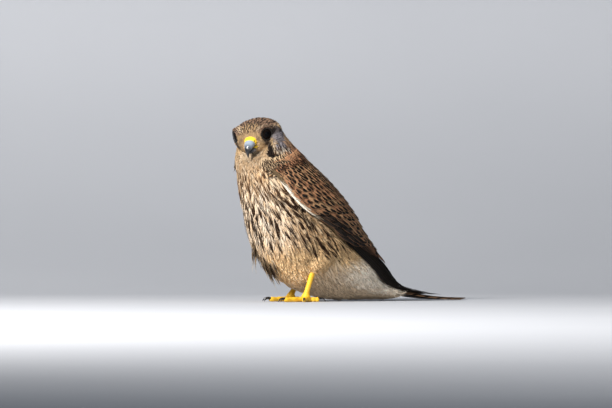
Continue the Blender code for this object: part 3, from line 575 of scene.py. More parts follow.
def out_of_face(points):
    """Points of the neck that lie before the face, moved back towards a place deep in the neck."""
    centre, deep = from_head(FACE_AT), from_head((-14.0, 0.0, -12.0))
    way, rel = deep - points, points - centre
    a, b = (way ** 2).sum(-1), (way * rel).sum(-1)
    c = (rel ** 2).sum(-1) - FACE_RADIUS ** 2
    share = (-b + np.sqrt(np.maximum(b * b - a * c, 0.0))) / a
    return np.where((c < 0)[:, None], points + way * share[:, None], points)


def trunk_skin():
    rings = []
    turn = np.radians(np.arange(-180, 180, 3.0))
    folded = np.degrees(np.arctan2(np.sin(turn), np.abs(np.cos(turn))))
    for s in np.arange(0.0, RUMP_END + 0.01, 0.2):
        level = outer(np.full(len(turn), s), folded) - coat_depth(s)
        if s > TAIL_START:
            # room for the tail over the end of the rump
            level = level - 3.5 * smooth((s - TAIL_START) / 0.8) * smooth((folded - 10.0) / 40.0)
        rings.append(out_of_face(bed(np.full(len(turn), s), turn, level)))
    return loft(rings)


def head_surface(forward, turn, grow):
    row = [np.interp(forward, HEAD_SECTIONS[:, 0], HEAD_SECTIONS[:, k]) for k in (1, 2, 3)]
    c, s = np.cos(turn), np.sin(turn)
    side = (row[0] + grow) * c
    up = np.where(s > 0, (row[1] + grow) * s, -(row[2] - grow) * s)
    side = side - HEAD_LEAN * np.maximum(up, 0.0)
    at = np.stack([np.full(len(turn), forward), side, up], -1)
    radial = np.stack([np.zeros(len(turn)), c, s], -1)
    for centre, spread, height in HEAD_RELIEF:
        for mirror in (1, -1):
            gap = at - np.array((centre[0], mirror * centre[1], centre[2]))
            at = at + radial * (height * np.exp(-(gap ** 2).sum(-1) / (2 * spread ** 2)))[:, None]
    return at


HEAD_COAT = 1.3
CROWN_DROP = 1.4


def head_skin():
    turn = np.arange(64) * 2 * math.pi / 64
    rings = [head_surface(f, turn, -HEAD_COAT) - CROWN_DROP * np.maximum(np.sin(turn), 0)[:, None] ** 2 *
             smooth((8.0 - f) / 8.0) * np.array((0.0, 0.0, 1.0)) for f in np.concatenate([np.linspace(-23.2, 14.0, 34),
                                                                        np.linspace(14.6, 16.6, 5)])]
    return loft(from_head(rings))


def thigh_skin(i):
    heel, hip = np.array(HEELS[i]), np.array(HIPS[i])
    shares = np.array((-0.16, 0.0, 0.25, 0.6, 1.0, 1.35, 1.6))
    radii = np.array((4.6, 7.2, 10.6, 13.2, 13.6, 11.6, 7.0)) - 1.7
    return tube([between(heel, hip, t) for t in shares], radii, 28)


def eye_place(side):
    angle = math.radians(EYE_FORWARD)
    axis = unit(np.array((math.cos(angle), side * math.sin(angle), 0.12)))
    return from_head((EYE_AT[0], side * EYE_AT[1], EYE_AT[2])), axis @ HEAD_FRAME


# Colours, in linear light
CREAM = np.array((0.62, 0.47, 0.31))
BUFF = np.array((0.47, 0.32, 0.17))
PALE = np.array((0.74, 0.63, 0.49))
WHITE = np.array((0.80, 0.72, 0.60))
BELLY = np.array((0.80, 0.56, 0.29))
# VENT is the vent's own creamy white raised to nearly full white: partly painted light on the vent.
VENT = np.array((0.97, 0.88, 0.73))
STREAK = np.array((0.024, 0.011, 0.005))
BROWN = np.array((0.080, 0.038, 0.017))
CROWN = np.array((0.33, 0.21, 0.135))
GREY = np.array((0.165, 0.17, 0.205))
DARK = np.array((0.012, 0.009, 0.008))
CHESTNUT = np.array((0.33, 0.155, 0.080))
BLACK = np.array((0.006, 0.004, 0.003))
FLIGHT = np.array((0.012, 0.009, 0.007))
TAIL = np.array((0.26, 0.150, 0.085))


def lerp(a, b, share):
    return a + (b - a) * np.asarray(share)[..., None]


def blob(points, centre, radius, soft=1.5):
    """1 inside a ball round the centre in head coordinates, on both sides of the head, fading at its rim."""
    p = points.copy()
    p[:, 1] = np.abs(p[:, 1])
    gap = np.linalg.norm((p - np.array(centre)) / np.array(radius), axis=-1)
    return 1 - smooth((gap - 1.0) * np.mean(radius) / soft + 0.5)


def stripe(points, line, radius, soft=1.2):
    """1 along a line of points in head coordinates."""
    best = np.zeros(len(points))
    for a, b in zip(line[:-1], line[1:]):
        for t in np.linspace(0, 1, 5):
            centre = [between(x, y, t) for x, y in zip(a, b)]
            best = np.maximum(best, blob(points, centre, (radius,) * 3, soft))
    return best


def head_colours(h):
    """Base colour and half width of the shaft streak for places on the head."""
    f, u = h[:, 0], h[:, 2]
    top = smooth((u + 0.08 * f - 4.5) / 5.0)
    colour = lerp(np.tile(BUFF * 1.05, (len(h), 1)), CROWN, top)
    # Chin and throat below the bill take a dull buff: painted shadow under the bill.
    colour = lerp(colour, PALE * np.array((0.66, 0.60, 0.52)), blob(h, (14.0, 0.0, -16.0), (14.0, 14.0, 8.0), 5.0))
    colour = lerp(colour, BUFF * 0.8, blob(h, (14.0, 0.0, 9.0), (7.0, 9.0, 7.0), 4.0) * 0.8)
    behind = smooth((-1.0 - f) / 6.0) * (1 - top)
    colour = lerp(colour, CREAM * 0.92, behind)
    streak = np.maximum(0.88 * top, 0.85 * behind)
    return colour, streak


# Marks of the face in head coordinates: line, radius, softness, colour, strength
FACE_MARKS = (
    (((4.0, 21.0, 3.0), (8.5, 21.0, 0.0), (12.0, 24.0, -4.5)), 4.8, 3.0, GREY, 0.85),
    (((13.5, 26.0, -8.5), (9.0, 28.5, -11.5), (7.0, 31.0, -17.0)), 3.6, 2.5, WHITE * 0.66, 0.8),
    (((9.0, 19.5, 5.0), (4.0, 20.5, 5.0), (0.0, 21.3, 4.0)), 2.7, 2.0, DARK * 3.0, 0.85),
    (((15.0, 7.5, 8.5), (12.5, 9.5, 11.0), (9.5, 10.8, 12.2), (5.0, 14.2, 11.6), (1.0, 18.8, 8.0)), 1.9, 1.3,
     CREAM * 1.05, 0.9),
    (((15.0, 13.2, 0.0), (13.0, 13.8, -6.0), (17.5, 16.0, -7.5)), 2.9, 2.0, DARK * 5.0, 0.85),
    (((18.5, 17.6, -7.6), (20.5, 20.0, -9.6), (19.6, 23.0, -11.2)), 3.5, 1.5, DARK * 1.2, 1.0),
    (((17.0, 7.0, 1.8), (15.5, 10.5, 1.0)), 1.6, 1.2, DARK * 10.0, 0.5),
)


def face_marks(colour, streak, h):
    """Ear patch, cheek, eye line, brow, moustache, and painted shade in the socket about the eye."""
    for line, radius, soft, tint, strength in FACE_MARKS:
        share = stripe(h, line, radius, soft) * strength
        colour = lerp(colour, tint, share)
    white = stripe(h, ((14.0, 24.5, -6.5), (10.0, 28.5, -11.0), (7.0, 31.0, -17.0)), 5.5, 3.0)
    streak = np.maximum(streak, 0.8 * white)
    # Darkening close round the eye: painted shade in the eye's socket.
    gap = np.linalg.norm(np.stack([h[:, 0], np.abs(h[:, 1]), h[:, 2]], -1) - np.array(EYE_AT), axis=-1)
    ring = 1 - smooth((gap - 5.5) / 1.2)
    return lerp(colour, DARK * 2.0, ring), streak * (1 - ring)


def trunk_colours(s, psi):
    """Base colour, half width of the streak, and share of upper-side colour at trunk places."""
    side = smooth((psi + 70.0) / 40.0)
    lower = smooth((s - 4.8) / 1.4)
    colour = lerp(np.tile(PALE, (len(s), 1)), CREAM, side * 0.8)
    colour = lerp(colour, BELLY, smooth((s - 4.6) / 1.2) * (1 - smooth((s - 6.8) / 1.0)) * 0.85)
    # On the vent the lower side turns buff: painted shade under the vent.
    under = 1 - smooth((psi + 28.0) / 34.0)
    colour = lerp(colour, between(VENT, BUFF * 1.1, 0.7 * under[..., None]), smooth((s - 6.3) / 1.2))
    collar = smooth((s - 0.8) / 0.5) * (1 - smooth((s - 1.7) / 0.9))
    colour = lerp(colour, BUFF, 0.6 * collar)
    throat = (1 - smooth((s - 1.0) / 0.5)) * (1 - smooth((psi + 30.0) / 25.0))
    # The throat under the bill is dulled to buff: painted shadow under the bill.
    colour = lerp(colour, PALE * np.array((0.66, 0.60, 0.52)), throat)
    colour = lerp(colour, PALE * 0.75, (1 - smooth((s - 1.1) / 0.5)) * smooth((psi + 30.0) / 25.0))
    upper = smooth((psi - table(WING_EDGE, np.maximum(s, 1.6)) - 30.0) / 25.0)
    upper = np.maximum(upper, smooth((psi - 40.0 + 22.0 * smooth((s - 1.0) / 0.8)) / 25.0) *
                       (1 - smooth((s - 1.7) / 0.3)) * smooth((s - 0.1) / 0.8))
    width = between(0.75, 0.9, side) * (1 - throat) * (1 - smooth((s - 4.6 - 0.9 * smooth((psi + 38.0) / 25.0)) / 0.8))
    # Flanks below the wing's edge get a darker buff and bolder streaks: partly the flanks' own heavier marking, partly
    # painted shadow under the wing's edge.
    flank = smooth((psi + 50.0) / 25.0) * smooth((s - 2.6) / 1.0) * (1 - smooth((s - 5.8) / 0.8))
    colour = lerp(colour, BUFF * 0.76, 0.65 * flank)
    width = width * (1 + 0.35 * flank)
    return colour, width, upper


# Skin

def build_skin():
    """One skin for head, neck, body and thighs, with a socket for each eye and a brow over it."""
    skin = remeshed("skin", [trunk_skin(), head_skin(), thigh_skin(0), thigh_skin(1)], 0.8, 10)
    points = vertices_of(skin)
    for side in (1, -1):
        at, axis = eye_place(side)
        rel = points - at
        h = rel @ axis
        flat = rel - h[:, None] * axis
        r = np.linalg.norm(flat, axis=-1)
        near = (h > -7.0) & (r < 10.5)
        over = (flat @ HEAD_FRAME[2]) / np.maximum(r, 0.1)
        ahead = (flat @ HEAD_FRAME[0]) / np.maximum(r, 0.1)
        brow = smooth((over + 0.25 * ahead + 0.1) / 0.9)
        rim = 0.7 * brow
        fold = smooth((r - 4.9) / 1.0) * (1 - smooth((r - 6.6) / 3.4))
        raised = np.maximum(h, between(h, rim, fold))
        sunk = between(np.minimum(h, -2.2), raised, smooth((r - 4.7) / 0.9))
        points = np.where(near[:, None], points + (sunk - h)[:, None] * axis, points)
    skin.data.vertices.foreach_set("co", world(points).astype(np.float32).ravel())
    skin.data.update()
    return skin


SKIN = build_skin()
SKIN_POINTS = vertices_of(SKIN)
SKIN_TREE = BVHTree.FromObject(SKIN, bpy.context.evaluated_depsgraph_get())


def on_skin(points):
    """Nearest places of the skin and its normals, in millimetres."""
    flat = world(points.reshape(-1, 3))
    place, normal = np.empty_like(flat), np.empty_like(flat)
    find = SKIN_TREE.find_nearest
    for i, p in enumerate(flat):
        near, n, _, _ = find(p)
        place[i], normal[i] = near, n
    place = place / MM - np.array((0.0, SHIFT_Y, 0.0))
    return place.reshape(points.shape), normal.reshape(points.shape)


def trunk_grid():
    s, psi = np.meshgrid(np.arange(-0.1, 12.4, 0.08), np.radians(np.arange(-180, 180, 2.0)), indexing="ij")
    s, psi = s.ravel(), psi.ravel()
    folded = np.degrees(np.arctan2(np.sin(psi), np.abs(np.cos(psi))))
    return s, psi, folded, bed(s, psi, outer(s, folded) - coat_depth(s))


TRUNK_S, TRUNK_PSI, TRUNK_FOLDED, TRUNK_POINTS = trunk_grid()
TRUNK_TREE = KDTree(len(TRUNK_POINTS))
for number, spot in enumerate(TRUNK_POINTS):
    TRUNK_TREE.insert(spot, number)
TRUNK_TREE.balance()


def thigh_place(points, i):
    """Share along a thigh from heel to hip, and distance from its surface."""
    heel, hip = np.array(HEELS[i]), np.array(HIPS[i])
    along = hip - heel
    t = ((points - heel) @ along) / (along @ along)
    gap = np.linalg.norm(points - heel - np.clip(t, -0.16, 1.6)[:, None] * along, axis=-1)
    radius = np.interp(t, (-0.16, 0.0, 0.25, 0.6, 1.0, 1.35, 1.6), np.array((4.6, 7.2, 10.6, 13.2, 13.6, 11.6, 7.0)) - 1.7)
    return t, gap - radius


def places(points):
    """Where points of the skin are: trunk station and angles, head coordinates, shares of head and thigh."""
    index, far = np.empty(len(points), int), np.empty(len(points))
    for k, p in enumerate(points):
        _, index[k], far[k] = TRUNK_TREE.find(p)
    h = to_head(points)
    egg = np.linalg.norm(h / np.array((25.0, 24.0, 18.5)), axis=-1)
    head = 1 - smooth((egg - 1.0) / 0.22)
    thigh = np.zeros(len(points))
    share = np.zeros(len(points))
    leg = np.zeros(len(points), int)
    for i in (0, 1):
        t, gap = thigh_place(points, i)
        own = smooth((far - np.abs(gap) - 0.4) / 1.6) * (t < 1.25)
        better = own > thigh
        thigh = np.where(better, own, thigh)
        share = np.where(better, t, share)
        leg = np.where(better, i, leg)
    return {"s": TRUNK_S[index], "psi": TRUNK_PSI[index], "folded": TRUNK_FOLDED[index], "h": h, "head": head,
            "thigh": thigh, "share": share, "leg": leg}


def colours_at(where):
    """Base colour of the plumage, streak half width as a share, share of upper-side colour, and whether the station
    lies before 2.2.
    """
    top, top_streak = head_colours(where["h"])
    low, width, upper = trunk_colours(where["s"], where["folded"])
    nape = smooth((2.2 - where["s"]) / 1.2)
    back = lerp(np.tile(CHESTNUT * 1.1, (len(top), 1)), CROWN * np.array((1.0, 0.9, 0.85)), nape)
    low = lerp(low, back, upper)
    width = width * (1 - upper) + 0.40 * upper
    low = lerp(low, BUFF * 1.3, where["thigh"])
    width = width * (1 - where["thigh"])
    colour = lerp(low, top, where["head"])
    streak = between(width, top_streak, where["head"])
    front = (where["s"] < 2.2)
    colour, streak = face_marks(colour, streak, where["h"])
    return colour, streak, upper, front


def unwrap(where):
    """Place on the unwrap of the skin's shape: trunk, head and thighs side by side."""
    trunk = np.stack([0.02 + 0.56 * (where["psi"] + math.pi) / (2 * math.pi), 0.02 + 0.96 * where["s"] / 16.0], -1)
    h = where["h"]
    turn = np.arctan2(h[:, 1], h[:, 2])
    head = np.stack([0.62 + 0.36 * (turn + math.pi) / (2 * math.pi), 0.02 + 0.4 * (h[:, 0] + 26.0) / 46.0], -1)
    thigh = np.stack([0.64 + 0.16 * where["leg"] + 0.0 * turn, 0.5 + 0.2 * np.clip(where["share"], 0, 1.4)], -1)
    place = np.where(where["head"][:, None] > 0.5, head, trunk)
    return np.where(where["thigh"][:, None] > 0.5, thigh, place)


def finish_skin():
    where = places(SKIN_POINTS)
    colour = colours_at(where)[0]
    # The skin takes the plumage's colour darkened: painted shade where it shows through gaps between the feathers.
    set_attribute(SKIN.data, "base", colour * 0.75)
    SKIN.data.materials.clear()
    SKIN.data.materials.append(SKIN_MATERIAL)
    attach(SKIN, "root")
    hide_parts("head", "neck", "torso", "rump", "thigh_left", "thigh_right")


finish_skin()

# Body feathers


def candidates(count):
    """Random places spread evenly over the skin."""
    mesh = SKIN.data
    mesh.calc_loop_triangles()
    corners = np.zeros(len(mesh.loop_triangles) * 3, np.int32)
    mesh.loop_triangles.foreach_get("vertices", corners)
    a, b, c = (SKIN_POINTS[corners.reshape(-1, 3)[:, k]] for k in range(3))
    area = np.linalg.norm(np.cross(b - a, c - a), axis=-1)
    pick = rng.choice(len(a), count, p=area / area.sum())
    p, q = rng.random((2, count, 1))
    p, q = np.where(p + q > 1, 1 - p, p), np.where(p + q > 1, 1 - q, q)
    return a[pick] + p * (b - a)[pick] + q * (c - a)[pick]


def thinned(points, spacing, kept=()):
    """Indices of points at least a spacing apart, those kept already first."""
    tree = KDTree(len(points))
    for i, p in enumerate(points):
        tree.insert(p, i)
    tree.balance()
    alive = np.ones(len(points), bool)
    chosen = list(kept)
    for i in chosen:
        for _, j, _ in tree.find_range(points[i], spacing[i]):
            alive[j] = False
    for i in range(len(points)):
        if alive[i]:
            chosen.append(i)
            for _, j, _ in tree.find_range(points[i], spacing[i]):
                alive[j] = False
    return np.array(chosen)


def flow_at(points, normals, where):
    """Way the feathers lie, along the skin."""
    step = 0.1
    s, psi = where["s"], where["psi"]
    level = outer(s, where["folded"])
    trunk = unit(bed(s + step, psi, level) - bed(s - step, psi, level))
    flank = smooth((where["folded"] + 75.0) / 35.0) * smooth((s - 1.5) / 1.5) * (1 - smooth((s - 6.5) / 1.5))
    upward = unit(bed(s, psi + 0.05 * np.sign(np.cos(psi)), level) - bed(s, psi, level))
    trunk = unit(trunk + upward * (0.28 * flank)[:, None])
    h = where["h"]
    head = h - np.array((17.5, 0.0, -1.5))
    head = unit(head + np.array((-6.0, 0.0, 0.0)) * 0.5) @ HEAD_FRAME
    mix = lerp(trunk, head, where["head"])
    thigh = np.empty_like(mix)
    for i in (0, 1):
        down = unit(np.array(HEELS[i]) - np.array(HIPS[i]))
        thigh = np.where((where["leg"] == i)[:, None], down, thigh)
    mix = lerp(mix, thigh, where["thigh"])
    for sign in (1, -1):
        at, _ = eye_place(sign)
        toward = at - points
        far = np.linalg.norm(toward, axis=-1)
        toward = toward / far[:, None]
        inward = np.maximum((mix * toward).sum(-1), 0.0) * (1 - smooth((far - 7.0) / 5.0))
        mix = mix - 1.15 * toward * inward[:, None]
    mix = mix - (mix * normals).sum(-1, keepdims=True) * normals
    return unit(mix)


POINTED = ((0.0, 0.3), (0.25, 0.85), (0.5, 1.0), (0.75, 0.8), (0.9, 0.48), (1.0, 0.04))


def waves(points, scale, seed):
    """Slow seeded variation over the body, about -1 to 1."""
    own = np.random.default_rng(seed)
    total = np.zeros(len(points))
    for _ in range(6):
        way = unit(own.normal(size=3)) * 2 * math.pi / (scale * own.uniform(0.7, 1.5))
        total += np.sin(points @ way + own.uniform(0, 2 * math.pi))
    return total / 3.0


def body_vanes(points, flow, length, half, rise, rows, thick, bend, lift):
    """Vanes that follow the skin from their roots: top points and normals."""
    columns = 3
    steps = np.linspace(0.0, 1.0, rows) ** 0.9
    wide = np.interp(steps, *np.array(POINTED).T)
    across = np.linspace(-1, 1, columns)
    _, normal = on_skin(points)
    side = unit(np.cross(normal, flow))
    centre = points[:, None] + flow[:, None] * (length[:, None] * steps)[..., None]
    centre = centre + side[:, None] * (bend[:, None] * steps ** 2)[..., None]
    grid = centre[:, :, None] + side[:, None, None] * (half[:, None, None] * wide[None, :, None] * across)[..., None]
    place, out = on_skin(grid)
    high = -0.25 + (rise[:, None] + 0.25) * steps ** lift[:, None]
    high = high[..., None] - 0.15 * half[:, None, None] * across ** 2
    return {"top": place + out * high[..., None], "normal": out, "thick": thick}


def strands_of(batch, rise, count, seed, pick, long, thin):
    """Loose barbs that leave the outer half of the vanes and run on past their tips."""
    own = np.random.default_rng(seed)
    top, normal = batch["top"][pick], batch["normal"][pick]
    m, rows, columns = top.shape[:3]
    made = []
    for _ in range(count):
        v = own.uniform(0.35, 0.95, m)
        u = own.uniform(-0.9, 0.9, m)
        row = v * (rows - 1)
        i = np.minimum(row.astype(int), rows - 2)
        t = (row - i)[:, None]
        each = np.arange(m)
        side = np.where(u < 0, 0, 2)
        w = np.abs(u)[:, None]
        line = top[each, :, 1] * (1 - w[:, None]) + top[each, :, side] * w[:, None]
        root = line[each, i] * (1 - t) + line[each, i + 1] * t
        along = unit(line[each, i + 1] - line[each, i])
        out = normal[each, i, 1]
        across = unit(np.cross(out, along))
        length = long[pick] * own.uniform(0.6, 1.3, m)
        spread = u * 0.16 + own.normal(0, 0.10, m)
        droop = own.normal(-0.04, 0.06, m)
        steps = np.array((0.0, 0.35, 0.7, 1.0))
        path = root[:, None] + along[:, None] * (length[:, None] * steps)[..., None]
        path = path + across[:, None] * ((length * spread)[:, None] * steps ** 1.5)[..., None]
        path = path + out[:, None] * (0.08 + (length * droop)[:, None] * steps ** 2)[..., None]
        path[..., 2] = np.maximum(path[..., 2], 0.3)
        radius = thin[pick][:, None] * np.array((1.0, 0.85, 0.5, 0.08))
        span = np.stack([0.5 + 0.5 * u, v, 0.5 + 0.5 * u, np.minimum(v + 0.3, 0.99)], -1)
        made.append({"path": path, "normal": np.repeat(out[:, None], 4, 1), "side": np.repeat(across[:, None], 4, 1),
                     "radius": radius, "span": span, **{k: batch[k][pick] for k in KEYS}, "place": batch["place"][pick]})
    return {k: np.concatenate([part[k] for part in made]) for k in made[0]}


TUFT_ROOTS = (((-8.0, -44.0, 60.0), (1.0, 4.0, -30.0), 18), ((-6.0, -40.0, 50.0), (3.0, 12.0, -30.0), 28),
              ((-2.0, -34.0, 42.0), (5.0, 15.0, -30.0), 28))


def hanging_tuft():
    """Long streaked feathers of the flank that hang free of the belly."""
    own = np.random.default_rng(31)
    rows = 7
    steps = np.linspace(0, 1, rows)
    tops, normals, bases, kinds, spots = [], [], [], [], []
    for centre, way, count in TUFT_ROOTS:
        for _ in range(count):
            root = np.array(centre) + own.normal(0, 1, 3) * (3.5, 2.5, 4.0)
            place, out = on_skin(root[None])
            place, out = place[0], out[0]
            along = unit(np.array(way) + own.normal(0, 1, 3) * (2.0, 2.0, 1.0))
            length = own.uniform(17.0, 26.0)
            side = unit(np.cross(out, along))
            centre_line = place - out * 0.5 + along * (length * steps)[:, None] + out * (1.6 * np.sin(steps * 1.8))[:, None]
            half = own.uniform(0.9, 1.4) * np.interp(steps, *np.array(POINTED).T)
            tops.append(centre_line[:, None] + side * (half[:, None] * np.array((-1, 0, 1)))[..., None])
            normals.append(np.broadcast_to(out, (rows, 3, 3)))
            bases.append(four(between(CREAM, BUFF * 0.6, own.random()) * own.uniform(0.7, 1.0)))
            kinds.append((own.uniform(0.6, 1.0), 0.2, 1.02, 0.0))
            spots.append(place)
    m = len(tops)
    where = places(np.array(spots))
    base = np.array(bases)
    batch = {"top": np.array(tops), "normal": np.array(normals), "thick": 0.12, "base": base,
             "mark": np.tile(four(STREAK), (m, 1)), "edge": base * np.array((1.1, 1.1, 1.1, 0.1)),
             "kind": np.array(kinds), "place": unwrap(where)}
    return [batch, strands_of(batch, None, 3, 32, np.ones(m, bool), np.full(m, 6.0), np.full(m, 0.15))]


def chosen_of(batch, pick):
    return {k: (v[pick] if isinstance(v, np.ndarray) else v) for k, v in batch.items()}


def drawn_in(points, where):
    """Points with the body drawn in along its length, so that even spacing there leaves longer files."""
    s, psi = where["s"], where["psi"]
    middle = bed(s, np.full(len(s), 0.5 * math.pi), 0.0) * 0.5 + bed(s, np.full(len(s), -0.5 * math.pi), 0.0) * 0.5
    walked = np.interp(s, (0, 1, 2, 3, 4, 5, 6, 7, 8, 9), (0, 14, 32, 58, 84, 107, 128, 148, 172, 205))
    own = np.stack([points[:, 0], np.linalg.norm((points - middle)[:, 1:], axis=-1) * np.sign(np.sin(psi)),
                    walked * 0.58], -1)
    return np.where((where["head"] > 0.3)[:, None], points, own + np.array((500.0, 0.0, 0.0)))


def body_feathers():
    points = candidates(170000)
    where = places(points)
    h, s, folded, head, thigh = where["h"], where["s"], where["folded"], where["head"], where["thigh"]
    edge = table(WING_EDGE, np.maximum(s, 1.4))
    bare = 90.0 - table(MANTLE, np.maximum(s, 1.6))
    tuck = np.interp(s, (2.0, 5.5, 7.0), (4.0, 5.0, 14.0))
    under_wing = (s > 2.0) & (folded > edge + tuck) & (folded < bare - 2.0) & (head < 0.5) & (thigh < 0.5)
    cere = (h[:, 1] / 5.2) ** 2 + ((h[:, 2] - 0.5) / 4.6) ** 2 < 1.0
    chin = (h[:, 1] / 4.6) ** 2 + ((h[:, 2] + 6.6) / 2.6) ** 2 < 1.0
    face = (h[:, 0] > 13.0) & (h[:, 0] < 24.0) & (cere | chin)
    for side in (1, -1):
        at, axis = eye_place(side)
        rel = points - at
        face |= (np.linalg.norm(rel - (rel @ axis)[:, None] * axis, axis=-1) < 5.5) & (rel @ axis > -7.0)
    foot = (thigh > 0.5) & (where["share"] < -0.12)
    end = s > RUMP_END - 0.25
    good = ~(under_wing | face | foot | end)
    points, where = points[good], {k: v[good] for k, v in where.items()}
    h, s, folded, head, thigh = where["h"], where["s"], where["folded"], where["head"], where["thigh"]
    near_eye = np.full(len(points), 99.0)
    for side in (1, -1):
        at, _ = eye_place(side)
        near_eye = np.minimum(near_eye, np.linalg.norm(points - at, axis=-1))
    small = np.clip((np.linalg.norm(h - np.array((18.0, 0.0, -2.0)), axis=-1) - 6.0) / 30.0, 0.0, 1.0)
    fine = 1 - smooth((s - 1.1) / 0.8)
    length = np.interp(s, (0.0, 1.0, 2.0, 4.0, 6.0, 8.0, 10.0), (7.0, 8.5, 15.0, 20.0, 19.0, 19.0, 15.0))
    half = np.interp(s, (0.0, 1.0, 2.0, 4.0, 6.0, 10.0), (1.4, 1.6, 2.2, 2.5, 2.3, 2.0))
    length = between(length, between(2.6, 8.0, small), np.maximum(head, fine))
    half = between(half, between(0.55, 1.6, small), np.maximum(head, fine))
    around = 1 - smooth((near_eye - 6.0) / 4.0)
    length = between(length, 1.8, around)
    half = between(half, 0.5, around)
    length = between(length, between(3.5, 11.0, smooth(where["share"] / 0.6)), thigh)
    half = between(half, 1.6, thigh)
    rise = between(coat_depth(s), between(0.6, 1.2, small), np.maximum(head, fine))
    rise = between(rise, 1.5, thigh)
    shoulder = (s > 0.9) & (s < 2.2) & (folded > -46.0) & (head < 0.5)
    length = np.where(shoulder, np.minimum(length, np.maximum((1.72 - s) * 17.0, 2.0)), length)
    colour, width, upper, front = colours_at(where)
    apart = np.where(head > 0.5, half * 1.9, np.interp(s, (0.8, 1.8, 3.5, 5.5), (2.2, 3.3, 5.0, 5.4)))
    streaked = thinned(drawn_in(points, where), apart)
    chosen = thinned(points, half * 0.80, streaked)
    marked = np.zeros(len(points), bool)
    marked[streaked] = True
    points, where = points[chosen], {k: v[chosen] for k, v in where.items()}
    length, half, rise, width, upper, marked, front = (
        a[chosen] for a in (length, half, rise, width, upper, marked, front))
    colour = colour[chosen]
    m = len(points)
    _, normal = on_skin(points)
    flow = flow_at(points, normal, where)
    side = np.cross(normal, flow)
    loose = np.maximum(smooth((where["s"] - 5.5) / 2.0), where["thigh"]) * (1 - where["head"])
    sway = rng.normal(0.0, 1.0, m) * between(0.05, 0.16, loose)
    sway = sway + (1 - where["head"]) * (0.10 + 0.12 * loose) * waves(points, 14.0, 7)
    flow = unit(flow + side * sway[:, None])
    length = length * rng.uniform(0.85, 1.15, m)
    lump = waves(points, 11.0, 8) * (1 - where["head"])
    bold = marked & (where["head"] < 0.5) & (width > 0.05)
    crest = marked & (where["head"] >= 0.5) & (width > 0.3)
    rise = rise * rng.uniform(0.8, 1.1, m) + 0.10 * marked + 0.45 * bold + 0.12 * crest + 0.3 * lump * (where["s"] > 1.6)
    half = np.where(bold, np.minimum(half * 0.8, 1.75), half)
    length = length * (1 + 0.35 * bold + 0.25 * crest)
    lift = np.where(bold, 0.42, np.where(crest, 0.5, 0.85))
    bend = rng.normal(0.0, 0.05, m) * length
    tone = rng.uniform(0.84, 1.08, m) * (1 + 0.09 * waves(points, 9.0, 9))
    base = colour * tone[:, None]
    warm = np.clip(rng.random(m) + 0.3 * waves(points, 6.0, 12), 0.0, 1.0) * (1 - where["head"]) * (1 - upper)
    warm = warm * (1 - 0.85 * smooth((where["s"] - 4.8) / 1.4))
    base = base * between(np.array((1.06, 1.06, 1.08)), np.array((0.84, 0.72, 0.60)), warm[:, None])
    width = np.where(marked, width * rng.uniform(0.8, 1.2, m), 0.0)
    mark = lerp(np.tile(BROWN, (m, 1)), STREAK, smooth((where["s"] - 1.8) / 1.2))
    mark = lerp(mark, DARK * 3.0, where["head"])
    mark = lerp(mark, BLACK, upper * (1 - where["head"]))
    start = between(0.34, 0.25, where["head"])
    patchy = np.clip(1.0 + 0.4 * waves(points, 20.0, 10), 0.45, 1.5)
    width = np.where(bold, width * patchy * rng.uniform(0.8, 1.5, m), width)
    kind = np.stack([width, start, np.full(m, 1.02), np.zeros(m)], -1)
    edge_colour = np.concatenate([base * 1.12, np.full((m, 1), 0.10)], 1)
    batch = body_vanes(points, flow, length, half, rise, 6, 0.10, bend, lift)
    batch.update(base=np.concatenate([base, np.ones((m, 1))], 1), mark=np.concatenate([mark, np.ones((m, 1))], 1),
                 edge=edge_colour, kind=kind, place=unwrap(where))
    long = between(length * 0.32, length * 0.28, where["head"])
    thin = between(0.17, 0.11, where["head"]) + 0.03 * loose
    is_head = where["head"] > 0.5
    low = (where["s"] > 5.0) & ~is_head
    high = ~is_head & ~low
    coat_piece("flank_tuft", hanging_tuft(), FEATHER)
    coat_piece("coat_head", [chosen_of(batch, is_head)], FEATHER)
    coat_piece("coat_breast", [chosen_of(batch, high)], FEATHER)
    coat_piece("coat_belly", [chosen_of(batch, low)], FEATHER)
    coat_piece("barbs_head", [strands_of(batch, rise, 1, 21, is_head, long, thin)], FEATHER)
    coat_piece("barbs_breast", [strands_of(batch, rise, 3, 22, high, long, thin)], FEATHER)
    vent = low & (where["s"] > 7.5)
    coat_piece("barbs_belly", [strands_of(batch, rise, 4, 23, low & ~vent, long, thin)], FEATHER)
    coat_piece("barbs_vent", [strands_of(batch, rise, 4, 24, vent, long, thin)], FEATHER)


body_feathers()

# Wings


def wing_grid(s, psi, half, level, columns, camber, lean):
    """Top points and normals of a vane over the bed; s, psi (degrees), half and level for each row."""
    across = np.linspace(-1, 1, columns)
    psi = np.radians(psi)
    reach = np.linalg.norm(bed(s, psi + 0.01, level) - bed(s, psi - 0.01, level), axis=-1) / 0.02
    angle = psi[:, None] + across * (half / reach)[:, None]
    high = level[:, None] - lean * half[:, None] * across - camber * half[:, None] * across ** 2
    top = bed(s[:, None], angle, high)
    return top, unit(bed(s[:, None], angle, high + 1.0) - top)


def tier_angle(s, share):
    return between(table(WING_EDGE, s) + 2.5, 87.0 - table(MANTLE, s), share)


